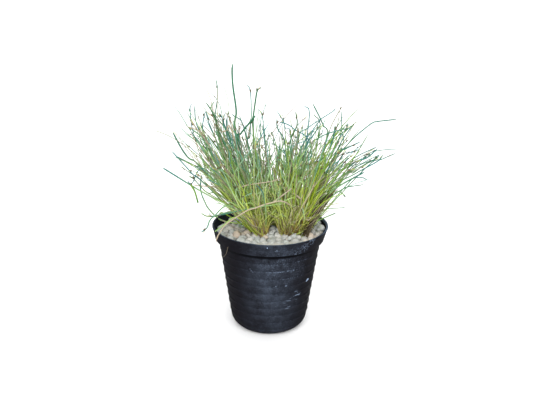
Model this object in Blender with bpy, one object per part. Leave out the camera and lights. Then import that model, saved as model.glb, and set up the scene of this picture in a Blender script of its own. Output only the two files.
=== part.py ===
"""Potted fiber optic grass: a nursery pot with its soil, a bed of pebbles, and a two-clumped tussock.

The origin is the centre of the pot's flat base, with +Z up and the front at -Y.
The pot and its filling are turned shapes that share one set of facets, so that they nest.
Each tuft is one body: a short base on the root crown that forks into up to six tapered stems.
"""

import math
import random

import bmesh
import bpy
import numpy as np
from mathutils import Matrix, Vector
from mathutils.geometry import delaunay_2d_cdt

# Pot, a 150 mm nursery pot
RIM_RADIUS = 0.0750
POT_HEIGHT = 0.1400
COLLAR_FOOT_Z = 0.1234
COLLAR_FOOT_RADIUS = 0.0714
WALL_TOP_RADIUS = 0.0670
WALL_FLOOR_RADIUS = 0.0494
FOOT_ROUNDING = 0.0154
WALL = 0.0016
COLLAR_WALL = 0.0021
LIP_HEIGHT = 0.0022
LIP_PROUD = 0.0007
RING_COUNT = 9
RING_FIRST_Z = 0.0220
RING_PITCH = 0.0110
RING_PROUD = 0.0003
RING_STEP = 0.0007
DRAIN_COUNT = 6
DRAIN_RADIUS = 0.0045
DRAIN_CIRCLE = 0.0270
FACETS = 40
SLOPE = math.atan((WALL_TOP_RADIUS - WALL_FLOOR_RADIUS) / COLLAR_FOOT_Z)

# Gap kept between pieces that touch
GAP = 0.0003

# Filling
SOIL_TOP = 0.1180
GRAVEL_LEVEL = 0.1335
GRAVEL_RISE_X = 0.0430
GRAVEL_RISE_Y = -0.0170
PEBBLE_SPACING = 0.0082
PEBBLE_RISE = 0.0026

# Root crown
CROWN_CENTRE = Vector((0.010, 0.0))
CROWN_RADIUS_X = 0.042
CROWN_RADIUS_Y = 0.036
CROWN_TOP = 0.1358
NOTCH_ANGLE = math.radians(-106)
NOTCH_WIDTH = 0.22
NOTCH_DEPTH = 0.009

# Tufts, in two clumps that lean apart
TUFT_SPACING = 0.0128
TUFT_RADIUS = 0.0041
TUFT_MARGIN = 0.0090
TUFT_FORK = 0.0130
STEMS_IN_TUFT = 6
STEM_RADIUS = 0.0015
STEM_LENGTH = 0.162
STEM_LENGTH_SPREAD = 0.16
FAN = 0.13
LEFT_CLUMP = (Vector((-0.012, -0.002)), Vector((-0.34, 0.0)))
RIGHT_CLUMP = (Vector((0.030, 0.002)), Vector((0.24, 0.0)))
CLUMP_SPREAD = Vector((20.0, 17.0))

# Step at which free places on the crown are tried
FOOT_STEP = 0.001

# Single stems: radius in metres, and the route from the crown to the tip in millimetres
SINGLE_STEMS = {
    "tall_stem": (0.0014, [(-14, -2, 138), (-24, -4, 165), (-34, -3, 210), (-42, 1, 256), (-45, 2, 300),
                           (-47, 0, 345)]),
    "tall_spikelet_stem": (0.0011, [(-20, 6, 138), (-42, 9, 180), (-60, 14, 235), (-69, 19, 285),
                                    (-70, 22, 326)]),
    "bent_top_stem": (0.0011, [(-2, -6, 138), (-10, -10, 195), (-22, -14, 245), (-21, -16, 290),
                               (-14, -15, 318)]),
    "left_high_stem": (0.0012, [(-26, 6, 138), (-52, 6, 168), (-91, 8, 210), (-114, 12, 236),
                                (-125, 14, 258)]),
    "left_low_stem": (0.0012, [(-22, -12, 138), (-50, -22, 170), (-75, -29, 186), (-104, -35, 205),
                               (-132, -40, 226)]),
    "left_rim_stem": (0.0011, [(-28, 14, 139), (-46, 20, 148), (-66, 26, 153), (-84, 31, 163),
                               (-93, 36, 194)]),
    "right_kinked_stem": (0.0012, [(44, 6, 138), (50, 10, 178), (68, 16, 220), (100, 24, 252),
                                   (132, 28, 270), (163, 32, 275)]),
    "right_low_stem": (0.0012, [(48, -8, 138), (66, -12, 180), (92, -17, 208), (122, -24, 233),
                                (156, -30, 250)]),
    "right_rim_stem": (0.0011, [(48, 12, 138), (60, 18, 148), (78, 26, 157), (104, 34, 160)]),
    "front_stem": (0.0012, [(2, -24, 138), (-2, -46, 172), (-8, -78, 205), (-14, -112, 226)]),
    "back_stem": (0.0012, [(16, 26, 138), (22, 50, 174), (30, 84, 212), (36, 116, 236)]),
    "dry_stem": (0.0011, [(26, -28, 138), (32, -44, 168), (27, -50, 190), (8, -52, 190), (-18, -56, 181),
                          (-38, -57, 171), (-55, -52, 156), (-67, -45, 144), (-71, -44, 132)]),
}


def remove_everything():
    for thing in list(bpy.data.objects):
        bpy.data.objects.remove(thing, do_unlink=True)


def material(name, colour, roughness):
    made = bpy.data.materials.new(name)
    made.use_nodes = True
    shader = made.node_tree.nodes["Principled BSDF"]
    shader.inputs["Base Color"].default_value = (*colour, 1.0)
    shader.inputs["Roughness"].default_value = roughness
    shader.inputs["Metallic"].default_value = 0.0
    return made


def add_object(name, bm, look, smooth_below=None):
    """Turn a bmesh into an object whose faces point out."""
    bmesh.ops.recalc_face_normals(bm, faces=bm.faces)
    mesh = bpy.data.meshes.new(name)
    bm.to_mesh(mesh)
    bm.free()
    if smooth_below is not None:
        mesh.shade_smooth()
        mesh.set_sharp_from_angle(angle=math.radians(smooth_below))
    mesh.materials.append(look)
    made = bpy.data.objects.new(name, mesh)
    bpy.context.scene.collection.objects.link(made)
    return made


def turn(bm, profile):
    """Turn a profile of (radius, height) points that starts and ends on the axis."""
    rings = []
    for radius, height in profile[1:-1]:
        rings.append([bm.verts.new((radius * math.cos(a), radius * math.sin(a), height))
                      for a in facet_angles()])
    ends = [bm.verts.new((0.0, 0.0, profile[0][1])), bm.verts.new((0.0, 0.0, profile[-1][1]))]
    for lower, upper in zip(rings, rings[1:]):
        join_rings(bm, lower, upper)
    for ring, end in ((rings[0], ends[0]), (rings[-1], ends[1])):
        for i in range(FACETS):
            bm.faces.new((ring[i], ring[(i + 1) % FACETS], end))


def facet_angles():
    return [math.tau * i / FACETS for i in range(FACETS)]


def join_rings(bm, lower, upper):
    count = len(lower)
    for i in range(count):
        j = (i + 1) % count
        bm.faces.new((lower[i], lower[j], upper[j], upper[i]))


def wall_radius(height, inset=0.0):
    """Radius of the tapered wall at a height, moved in square to the wall."""
    return WALL_FLOOR_RADIUS + height * math.tan(SLOPE) - inset / math.cos(SLOPE)


def foot_profile(inset, steps=4):
    """The rounded foot, from the axis out to the wall, moved in by an even inset."""
    centre = WALL_FLOOR_RADIUS - FOOT_ROUNDING * (1 - math.sin(SLOPE)) / math.cos(SLOPE)
    radius = FOOT_ROUNDING - inset
    points = [(0.0, inset)]
    for i in range(steps + 1):
        angle = -math.pi / 2 + (math.pi / 2 - SLOPE) * i / steps
        points.append((centre + radius * math.cos(angle), FOOT_ROUNDING + radius * math.sin(angle)))
    return points


def collar_radius(height, inset=0.0):
    """Radius of the flared collar at a height."""
    share = (height - COLLAR_FOOT_Z) / (POT_HEIGHT - LIP_HEIGHT - COLLAR_FOOT_Z)
    return COLLAR_FOOT_RADIUS + (RIM_RADIUS - LIP_PROUD - COLLAR_FOOT_RADIUS) * share - inset


def pot_profile():
    outside = foot_profile(0.0)
    for i in range(RING_COUNT):
        height = RING_FIRST_Z + i * RING_PITCH
        outside.append((wall_radius(height) + RING_PROUD, height))
        outside.append((wall_radius(height) - RING_PROUD, height + RING_STEP))
    shoulder = COLLAR_FOOT_Z + 0.0010
    lip_foot = POT_HEIGHT - LIP_HEIGHT
    outside += [
        (wall_radius(shoulder), shoulder),
        (COLLAR_FOOT_RADIUS - 0.0010, COLLAR_FOOT_Z),
        (COLLAR_FOOT_RADIUS, COLLAR_FOOT_Z + 0.0010),
        (collar_radius(lip_foot), lip_foot),
        (RIM_RADIUS, lip_foot + 0.0006),
        (RIM_RADIUS, POT_HEIGHT - 0.0006),
        (RIM_RADIUS - 0.0007, POT_HEIGHT),
        (collar_radius(POT_HEIGHT, COLLAR_WALL), POT_HEIGHT),
    ]
    shelf = shoulder + WALL
    inside = foot_profile(WALL)
    inside += [(wall_radius(shelf, WALL), shelf), (collar_radius(shelf, COLLAR_WALL), shelf)]
    return outside + inside[::-1]


def make_pot(look):
    bm = bmesh.new()
    turn(bm, pot_profile())
    pot = add_object("pot", bm, look, smooth_below=30)
    cutter_bm = bmesh.new()
    for i in range(DRAIN_COUNT):
        angle = math.tau * (i + 0.5) / DRAIN_COUNT
        place = Matrix.Translation((DRAIN_CIRCLE * math.cos(angle), DRAIN_CIRCLE * math.sin(angle), 0.0))
        bmesh.ops.create_cone(cutter_bm, cap_ends=True, segments=8, radius1=DRAIN_RADIUS,
                              radius2=DRAIN_RADIUS, depth=4 * WALL, matrix=place)
    cutter = add_object("drain_cutter", cutter_bm, look)
    cutter.hide_render = True
    cutter.display_type = "WIRE"
    holes = pot.modifiers.new("Drain holes", "BOOLEAN")
    holes.operation = "DIFFERENCE"
    holes.solver = "EXACT"
    holes.object = cutter


def make_soil(look):
    inset = WALL + GAP
    profile = foot_profile(inset)
    profile += [(wall_radius(SOIL_TOP, inset), SOIL_TOP), (0.0, SOIL_TOP)]
    bm = bmesh.new()
    turn(bm, profile)
    add_object("soil", bm, look, smooth_below=40)


def gravel_height(x, y):
    return GRAVEL_LEVEL + GRAVEL_RISE_X * x + GRAVEL_RISE_Y * y


def crown_edge(angle, outset=0.0, scale=1.0):
    """Point on the crown's outline: an oval, a little wavy, with a notch between the two clumps."""
    oval = 1.0 / math.hypot(math.cos(angle) / CROWN_RADIUS_X, math.sin(angle) / CROWN_RADIUS_Y)
    notch = NOTCH_DEPTH * math.exp(-((angle_between(angle, NOTCH_ANGLE) / NOTCH_WIDTH) ** 2))
    radius = (oval * (1.0 + 0.035 * math.cos(3 * angle + 0.6)) - notch) * scale + outset
    return CROWN_CENTRE + radius * Vector((math.cos(angle), math.sin(angle)))


def angle_between(a, b):
    return (a - b + math.pi) % math.tau - math.pi


def crown_depth(point):
    """How far a point lies inside the crown's outline, negative outside it."""
    arm = point - CROWN_CENTRE
    edge = crown_edge(math.atan2(arm.y, arm.x))
    return (edge - CROWN_CENTRE).length - arm.length


def hex_points(spacing, reach):
    """Points of a triangular lattice round the origin."""
    rows = int(reach / (spacing * math.sqrt(0.75))) + 1
    columns = int(reach / spacing) + 1
    for row in range(-rows, rows + 1):
        for column in range(-columns, columns + 1):
            x = spacing * (column + 0.5 * (row % 2))
            yield Vector((x, spacing * math.sqrt(0.75) * row))


def gravel_edge_radius(x, y):
    return collar_radius(gravel_height(x, y), COLLAR_WALL + GAP)


def pebble_points(rng):
    """Tops of the pebbles and the dips between them, as (point, lift above the bed)."""
    dips = (Vector((0.5, math.sqrt(0.75) / 3)), Vector((0.0, math.sqrt(0.75) / 1.5)))
    points = []
    for place in hex_points(PEBBLE_SPACING, RIM_RADIUS):
        shake = Vector((rng.uniform(-1, 1), rng.uniform(-1, 1))) * PEBBLE_SPACING * 0.11
        lift = PEBBLE_RISE * rng.uniform(0.7, 1.4)
        points.append((place + shake, lift))
        for dip in dips:
            points.append((place + dip * PEBBLE_SPACING, -0.3 * PEBBLE_RISE))
    margin = 0.35 * PEBBLE_SPACING
    kept = []
    for point, lift in points:
        near_pot = point.length > gravel_edge_radius(point.x, point.y) - margin
        if not near_pot and crown_depth(point) < -margin:
            kept.append((point, lift))
    return kept


def make_gravel(look):
    rng = random.Random(5)
    angles = facet_angles()
    rim = []
    for a in angles:
        radius = gravel_edge_radius(RIM_RADIUS * math.cos(a), RIM_RADIUS * math.sin(a))
        rim.append(Vector((radius * math.cos(a), radius * math.sin(a))))
    hole = [crown_edge(a, outset=GAP) for a in angles]
    tops = pebble_points(rng)
    flat = rim + hole + [point for point, lift in tops]
    loops = [(i, (i + 1) % FACETS) for i in range(FACETS)]
    loops += [(FACETS + i, FACETS + j) for i, j in loops]
    places, _, triangles, sources, _, _ = delaunay_2d_cdt(flat, loops, [], 0, 1e-6)
    lifts = [0.0] * (2 * FACETS) + [lift for point, lift in tops]

    bm = bmesh.new()
    verts = []
    for place, source in zip(places, sources):
        lift = lifts[source[0]]
        verts.append(bm.verts.new((place.x, place.y, gravel_height(place.x, place.y) + lift)))
    for triangle in triangles:
        middle = sum((places[i] for i in triangle), Vector((0.0, 0.0))) / 3
        if crown_depth(middle) < 0:
            bm.faces.new([verts[i] for i in triangle])
    order = {source[0]: vert for vert, source in zip(verts, sources)}
    upper_rim = [order[i] for i in range(FACETS)]
    upper_hole = [order[FACETS + i] for i in range(FACETS)]

    shelf = COLLAR_FOOT_Z + 0.0010 + WALL + GAP
    bottom = SOIL_TOP + GAP
    levels = [(collar_radius(shelf, COLLAR_WALL + GAP), shelf), (wall_radius(shelf, WALL + GAP), shelf),
              (wall_radius(bottom, WALL + GAP), bottom)]
    above = upper_rim
    for radius, height in levels:
        ring = [bm.verts.new((radius * math.cos(a), radius * math.sin(a), height)) for a in angles]
        join_rings(bm, ring, above)
        above = ring
    lower_hole = [bm.verts.new((*crown_edge(a, outset=GAP), bottom)) for a in angles]
    join_rings(bm, upper_hole, lower_hole)
    join_rings(bm, lower_hole, above)
    add_object("gravel", bm, look)


def make_crown(look):
    bm = bmesh.new()
    rings = []
    for height, scale in ((SOIL_TOP + GAP, 0.97), (CROWN_TOP - 0.0035, 1.0), (CROWN_TOP, 0.92)):
        rings.append([bm.verts.new((*crown_edge(a, scale=scale), height)) for a in facet_angles()])
    for lower, upper in zip(rings, rings[1:]):
        join_rings(bm, lower, upper)
    bm.faces.new(rings[0])
    bm.faces.new(rings[-1])
    add_object("root_crown", bm, look, smooth_below=40)


def smooth_route(points, steps):
    """Catmull-Rom points through a route, ends included."""
    points = [Vector(p) for p in points]
    padded = [2 * points[0] - points[1], *points, 2 * points[-1] - points[-2]]
    route = []
    for a, b, c, d in zip(padded, padded[1:], padded[2:], padded[3:]):
        for i in range(steps):
            t = i / steps
            route.append(0.5 * (2 * b + (c - a) * t + (2 * a - 5 * b + 4 * c - d) * t * t
                                + (3 * b - a - 3 * c + d) * t ** 3))
    route.append(points[-1])
    return route


def grow_stem(bm, ring, path, radii):
    """Carry a ring of vertices along a path and close it in a point at the path's end."""
    centre = sum((v.co for v in ring), Vector()) / len(ring)
    arms = [v.co - centre for v in ring]
    last = ring
    for i, (place, radius) in enumerate(zip(path[:-1], radii)):
        along = (path[i + 1] - place).normalized()
        verts = []
        for arm in arms:
            across = (arm - along * arm.dot(along)).normalized()
            verts.append(bm.verts.new(place + radius * across))
        join_rings(bm, last, verts)
        last = verts
    tip = bm.verts.new(path[-1])
    for i in range(len(last)):
        bm.faces.new((last[i], last[(i + 1) % len(last)], tip))


def place_along(path, share):
    """Point at a share of a path's points, between two of them where it falls so."""
    spot = share * (len(path) - 1)
    low = min(int(spot), len(path) - 2)
    return path[low].lerp(path[low + 1], spot - low)


def make_single_stem(name, radius, path, look, spikelet):
    """One stem that stands out of the mass, four-sided, with its spikelet just below the tip."""
    shares = [0.12, 0.28, 0.44, 0.60, 0.76, 0.90]
    radii = [radius * (1 - 0.45 * share) for share in shares]
    if spikelet:
        shares += [0.955]
        radii += [0.0019]
    rings = [place_along(path, share) for share in shares] + [path[-1]]
    bm = bmesh.new()
    foot = []
    for corner in range(4):
        angle = math.tau * corner / 4
        foot.append(bm.verts.new(path[0] + radius * Vector((math.cos(angle), math.sin(angle), 0.0))))
    bm.faces.new(foot)
    grow_stem(bm, foot, rings, radii)
    add_object(name, bm, look, smooth_below=80)


def tuft_feet():
    """Feet of the tufts on the crown, each with the way that it leans."""
    feet = []
    for place in hex_points(TUFT_SPACING, CROWN_RADIUS_X):
        foot = CROWN_CENTRE + place
        if crown_depth(foot) < TUFT_MARGIN:
            continue
        clumps = (LEFT_CLUMP, RIGHT_CLUMP)
        centre, lean = min(clumps, key=lambda clump: (foot - clump[0]).length)
        arm = foot - centre
        spread = Vector((arm.x * CLUMP_SPREAD.x, arm.y * CLUMP_SPREAD.y))
        feet.append((foot, lean + spread))
    return feet


def free_foot(wanted, radius, feet):
    """The place on the crown nearest to the wanted one that no tuft stands on."""
    room = TUFT_RADIUS + radius + 2 * GAP
    free = []
    for step in hex_points(FOOT_STEP, CROWN_RADIUS_X):
        place = CROWN_CENTRE + step
        nearest = min((place - foot).length for foot, lean in feet)
        if crown_depth(place) > 3 * radius and nearest > room:
            free.append(place)
    return min(free, key=lambda place: (place - wanted).length)


def single_route(radius, route, feet):
    """A single stem's smooth path, its foot moved to a free place on the crown."""
    points = [Vector(p) / 1000 for p in route]
    foot = free_foot(points[0].xy, radius, feet)
    points[0] = Vector((foot.x, foot.y, CROWN_TOP + GAP))
    return smooth_route(points, 2)


def stem_path(foot, lean, length):
    """A stem that starts near upright and arches out to its lean."""
    start = Vector((foot.x, foot.y, CROWN_TOP + GAP))
    ends = Vector((lean.x, lean.y, 1.0)).normalized()
    starts = Vector((lean.x * 0.75, lean.y * 0.75, 1.0)).normalized()
    sag = Vector((0.0, 0.0, -0.10 * length * Vector((lean.x, lean.y)).length))
    points = []
    for i in range(9):
        t = i / 8
        points.append(start + length * t * starts.lerp(ends, t) + sag * t * t)
    return points


def stays_clear(path, others, reach):
    """True if a path keeps the reach from every sample of the other stems."""
    mine = sampled(path)
    gaps = np.linalg.norm(mine[:, None, :] - np.concatenate(others)[None, :, :], axis=2)
    return bool(gaps.min() > reach)


def sampled(path, step=0.002):
    samples = []
    for a, b in zip(path, path[1:]):
        count = max(2, int((b - a).length / step))
        samples += [a.lerp(b, i / count) for i in range(count)]
    return np.array([tuple(p) for p in samples])


def tuft_stems(foot, lean, taken, rng):
    """Stems that fan out from one foot, each drawn again until it clears the other tufts.

    A place in the tuft where no draw is clear has no stem.
    """
    stems = []
    turn_by = rng.uniform(0, math.tau)
    for i in range(STEMS_IN_TUFT):
        angle = turn_by + math.tau * (i + 0.5) / STEMS_IN_TUFT
        fan = Vector((math.cos(angle), math.sin(angle)))
        stem = None
        for attempt in range(60):
            length = STEM_LENGTH * (1 + STEM_LENGTH_SPREAD * rng.uniform(-1, 1)) * (1 - 0.008 * attempt)
            swing = FAN * rng.uniform(0.7, 1.5)
            wander = Vector((rng.uniform(-1, 1), rng.uniform(-1, 1))) * 0.001 * attempt
            path = stem_path(foot + fan * TUFT_RADIUS * 0.55, lean + fan * swing + wander, length)
            if stays_clear(path[1:], taken, 2 * STEM_RADIUS + 2 * GAP):
                stem = path
                break
        stems.append(stem)
    return turn_by, stems


def make_tuft(name, foot, lean, turn_by, stems, look):
    """A base that forks into its stems: each cell of the fork's hexagon is drawn out into one."""
    bm = bmesh.new()
    angles = [turn_by + math.tau * i / STEMS_IN_TUFT for i in range(STEMS_IN_TUFT)]
    base = Vector((foot.x, foot.y, CROWN_TOP + GAP))
    top = base + TUFT_FORK * Vector((lean.x * 0.8, lean.y * 0.8, 1.0)).normalized()
    low = []
    high = []
    for angle in angles:
        out = Vector((math.cos(angle), math.sin(angle), 0.0))
        low.append(bm.verts.new(base + 0.85 * TUFT_RADIUS * out))
        high.append(bm.verts.new(top + TUFT_RADIUS * out))
    hub = bm.verts.new(top)
    bm.faces.new(low)
    join_rings(bm, low, high)
    for i, path in enumerate(stems):
        cell = [hub, high[i], high[(i + 1) % STEMS_IN_TUFT]]
        if path is None:
            bm.faces.new(cell)
            continue
        middle = sum((v.co for v in cell), Vector()) / 3
        ring = [bm.verts.new(middle + 0.55 * (v.co - middle)) for v in cell]
        join_rings(bm, cell, ring)
        shares = [0.24, 0.55, 0.90, 0.95]
        radii = [STEM_RADIUS, 0.8 * STEM_RADIUS, 0.45 * STEM_RADIUS, 1.05 * STEM_RADIUS]
        grow_stem(bm, ring, [place_along(path, share) for share in shares] + [path[-1]], radii)
    add_object(name, bm, look)


def make_grass(green, dry):
    rng = random.Random(11)
    feet = tuft_feet()
    taken = []
    for name, (radius, route) in SINGLE_STEMS.items():
        path = single_route(radius, route, feet)
        dried = name == "dry_stem"
        make_single_stem(name, radius, path, dry if dried else green, spikelet=not dried)
        taken.append(sampled(path))
    for number, (foot, lean) in enumerate(feet, start=1):
        turn_by, stems = tuft_stems(foot, lean, taken, rng)
        taken += [sampled(path) for path in stems if path]
        make_tuft(f"tuft_{number:02d}", foot, lean, turn_by, stems, green)


def main():
    remove_everything()
    make_pot(material("black_plastic", (0.030, 0.034, 0.046), 0.55))
    make_soil(material("potting_soil", (0.030, 0.020, 0.014), 0.95))
    make_gravel(material("pale_pebbles", (0.52, 0.50, 0.46), 0.80))
    make_crown(material("root_mat", (0.075, 0.048, 0.022), 0.90))
    green = material("green_stems", (0.215, 0.300, 0.075), 0.60)
    dry = material("dry_straw", (0.440, 0.350, 0.210), 0.75)
    make_grass(green, dry)


main()
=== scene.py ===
"""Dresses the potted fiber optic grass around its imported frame, as a Blender add-on run as a script.

Lengths are in metres where nothing else is said, in the frame's own place: the pot stands on the floor
at the origin, with +Z up and the front at -Y. Every piece is one closed mesh, or many joined, such as
the pebbles of the bed or the stems of a clump, and rides on the part's single body.
"""

import math
from typing import NamedTuple

import bpy
import numpy as np
from bpy.props import FloatProperty, FloatVectorProperty, IntProperty, PointerProperty
from bpy.types import Operator, Panel, PropertyGroup
from mathutils import Matrix, Vector, noise


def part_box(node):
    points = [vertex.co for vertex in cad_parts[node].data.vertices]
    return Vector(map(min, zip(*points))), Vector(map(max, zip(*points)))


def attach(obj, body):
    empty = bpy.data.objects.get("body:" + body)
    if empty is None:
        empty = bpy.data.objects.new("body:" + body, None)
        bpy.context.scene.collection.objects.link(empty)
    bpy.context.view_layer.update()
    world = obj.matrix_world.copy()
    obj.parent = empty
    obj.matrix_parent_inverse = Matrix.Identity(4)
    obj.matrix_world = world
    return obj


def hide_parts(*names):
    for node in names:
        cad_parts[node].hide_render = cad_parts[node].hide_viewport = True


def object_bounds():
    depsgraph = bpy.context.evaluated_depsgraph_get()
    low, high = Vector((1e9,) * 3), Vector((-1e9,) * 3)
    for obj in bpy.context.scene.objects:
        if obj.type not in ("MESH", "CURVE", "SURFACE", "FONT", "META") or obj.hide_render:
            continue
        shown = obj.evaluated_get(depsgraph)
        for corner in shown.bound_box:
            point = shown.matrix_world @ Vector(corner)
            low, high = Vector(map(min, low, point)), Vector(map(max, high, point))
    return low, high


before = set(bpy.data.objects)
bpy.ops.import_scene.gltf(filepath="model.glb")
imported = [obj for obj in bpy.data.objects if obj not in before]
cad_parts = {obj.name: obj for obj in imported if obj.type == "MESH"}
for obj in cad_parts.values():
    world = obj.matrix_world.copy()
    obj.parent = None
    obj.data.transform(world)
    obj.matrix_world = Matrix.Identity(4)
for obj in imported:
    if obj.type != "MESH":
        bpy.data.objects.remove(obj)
CAD_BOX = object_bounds()

bl_info = {
    "name": "Potted fiber optic grass",
    "version": (1, 0, 0),
    "blender": (4, 5, 0),
    "location": "3D View > Sidebar > Potted Grass",
    "description": "Makes a nursery pot with pebbles and a tussock of fine stems around a packed frame",
    "category": "Add Mesh",
}

TAU = math.tau

# Sizes and heights of the frame's solids
POT_LOW, POT_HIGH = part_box("pot")
RIM_RADIUS = (POT_HIGH.x - POT_LOW.x) / 2
POT_HEIGHT = POT_HIGH.z
CROWN_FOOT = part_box("root_crown")[0].z
GRAVEL_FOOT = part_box("gravel")[0].z

# Pot form, as in the part
COLLAR_FOOT_Z = 0.1234
COLLAR_FOOT_RADIUS = 0.0714
WALL_TOP_RADIUS = 0.0670
WALL_FLOOR_RADIUS = 0.0494
FOOT_ROUNDING = 0.0154
SHOULDER_Z = COLLAR_FOOT_Z + 0.0008
WALL = 0.0016
COLLAR_WALL = 0.0021
LIP_HEIGHT = 0.0022
LIP_PROUD = 0.0007
RING_COUNT = 9
RING_FIRST_Z = 0.0220
RING_PITCH = 0.0110
SLOPE = math.atan((WALL_TOP_RADIUS - WALL_FLOOR_RADIUS) / COLLAR_FOOT_Z)
DRAIN_COUNT = 6
DRAIN_RADIUS = 0.0045
DRAIN_CIRCLE = 0.0270
# How far above and below the pot's foot the holes are cut
DRAIN_DRILL = 0.004
# Angles of the creases in the thin collar
CREASES = [math.radians(angle) for angle in (-119, -108, 20, 140)]

# Marks on the pot: how far they reach, how far they are full, and their places, all in millimetres
UPPER_DUST = (46, 12, (22, -62, 108))
SPLASHES = (8.5, 3, (35, -63, 126.5), (43, -59, 131.5), (51.5, -54, 136.5))
SCUFFS = (8, 3, (36, -46, 62), (31, -48, 54.5), (24, -51.5, 49))
SCRAPE = (2, 1, (48.2, -36.1, 76), (49.8, -34.1, 76.8))
SCRATCH = (1.3, 0.4, (-23.8, -59.3, 101.8), (-22.2, -59.7, 99.8), (-20.3, -60.1, 98.2))
DROP = (1, 0.5, (-2.6, -74, 136.2))
DOTS = (0.9, 0.3, (8.6, -60, 78.7), (20.7, -56.8, 78), (22, -56.4, 78))
TEAR = (2.4, 0.9, (8.4, -72.5, 131.8))

# Gravel and crown, as in the part
GRAVEL_LEVEL = 0.1335
GRAVEL_RISE = Vector((0.0430, -0.0170))
CROWN_CENTRE = Vector((0.010, 0.0))
CROWN_RADII = (0.042, 0.036)
NOTCH_CENTRE = (0.0045, -0.0210)
NOTCH_RADII = (0.0077, 0.0150)
# Dents in the crown's outline: angle, width in radians, and depth
DENTS = ((math.radians(-98), 0.25, 0.024), (math.radians(-163), 0.55, 0.013))
MOUND_HEIGHT = 0.0040

# Grit: how far it is below the gravel's level, and its gap to the pot
GRIT_SUNK = 0.0020
POT_GAP = 0.0005
# Bank of fines at the front: its height, width in radians, inner radius, and run to its full height
BANK_HEIGHT = 0.0030
BANK_WIDTH = 0.45
BANK_START = 0.046
BANK_RUN = 0.014
# Spots of the bed, as x, y and width: pebbles are high in the notch, with painted light on them,
# and warm at two places
NOTCH_PEBBLES = (0.005, -0.018, 0.010)
NOTCH_LIFT = 0.0058
WARM_PEBBLES = ((-0.037, -0.018, 0.009), (0.053, -0.032, 0.009))

# Stems: how deep in the gravel they start, and how far they may pass the frame's box
ROOTED = 0.003
MARGIN = 0.006
# How much they taper, the share of a stem that is its point, and the length of those that run through
# all the colours
TAPER = 0.06
POINT_SHARE = 0.015
FULL_LENGTH = 0.16
# Lengths of spikelets, of the shortest stem with one, and the radius of a bract
SPIKELET = 0.0033
SECOND_SPIKELET = 0.0030
LONE_SPIKELET = 0.0040
SHORTEST_HEADED = 0.055
BRACT_RADIUS = 0.0004

# Seeds of the random draws
PEBBLE_SEED = 21
SHEATH_SEED = 31
SINGLE_STEM_SEED = 41

# Picture, in pixels of the photo
PHOTO_SIZE = (533, 400)
TARGET_PIXEL = (270.1, 268.8)
FOCAL_PIXELS = 589.5

# Lights: name, direction that it comes from, width in degrees, and strength
LIGHTS = (
    ("left_key", (-0.55, -1.25, 1.00), 40, 2.25),
    ("right_key", (0.60, -1.25, 1.10), 40, 1.80),
    ("top_light", (0.10, 0.15, 1.00), 60, 1.35),
)
SKY_COLOUR = (0.96, 0.98, 1.0, 1.0)
SKY_STRENGTH = 0.22


class Growth(NamedTuple):
    """How one group of stems grows, with its places and lengths in millimetres.

    Slopes are sideways over up: the middle's, and what an edge adds. The stems of the right edge are
    longer by the share taller. Gloom is painted shade: how much darker the stems of the left and of the
    right edge are, and a negative gloom is painted light. Colours run up a stem from 0 to 1, and start at
    lowest; lowest also paints all the group's stems lighter, as painted light.
    """

    count: int
    centre: tuple
    radii: tuple
    foot_slope: tuple
    foot_spread: tuple
    tip_slope: tuple
    tip_spread: tuple
    lengths: tuple
    evenness: tuple = (1.5, 1.35)
    scatter: float = 1.0
    width: float = 1.0
    dry: float = 0.22
    headed: float = 0.36
    coolest: float = 0.0
    warmest: float = 1.0
    taller: float = 0.0
    gloom: tuple = (0.0, 0.0)
    lowest: float = 0.0


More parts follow.
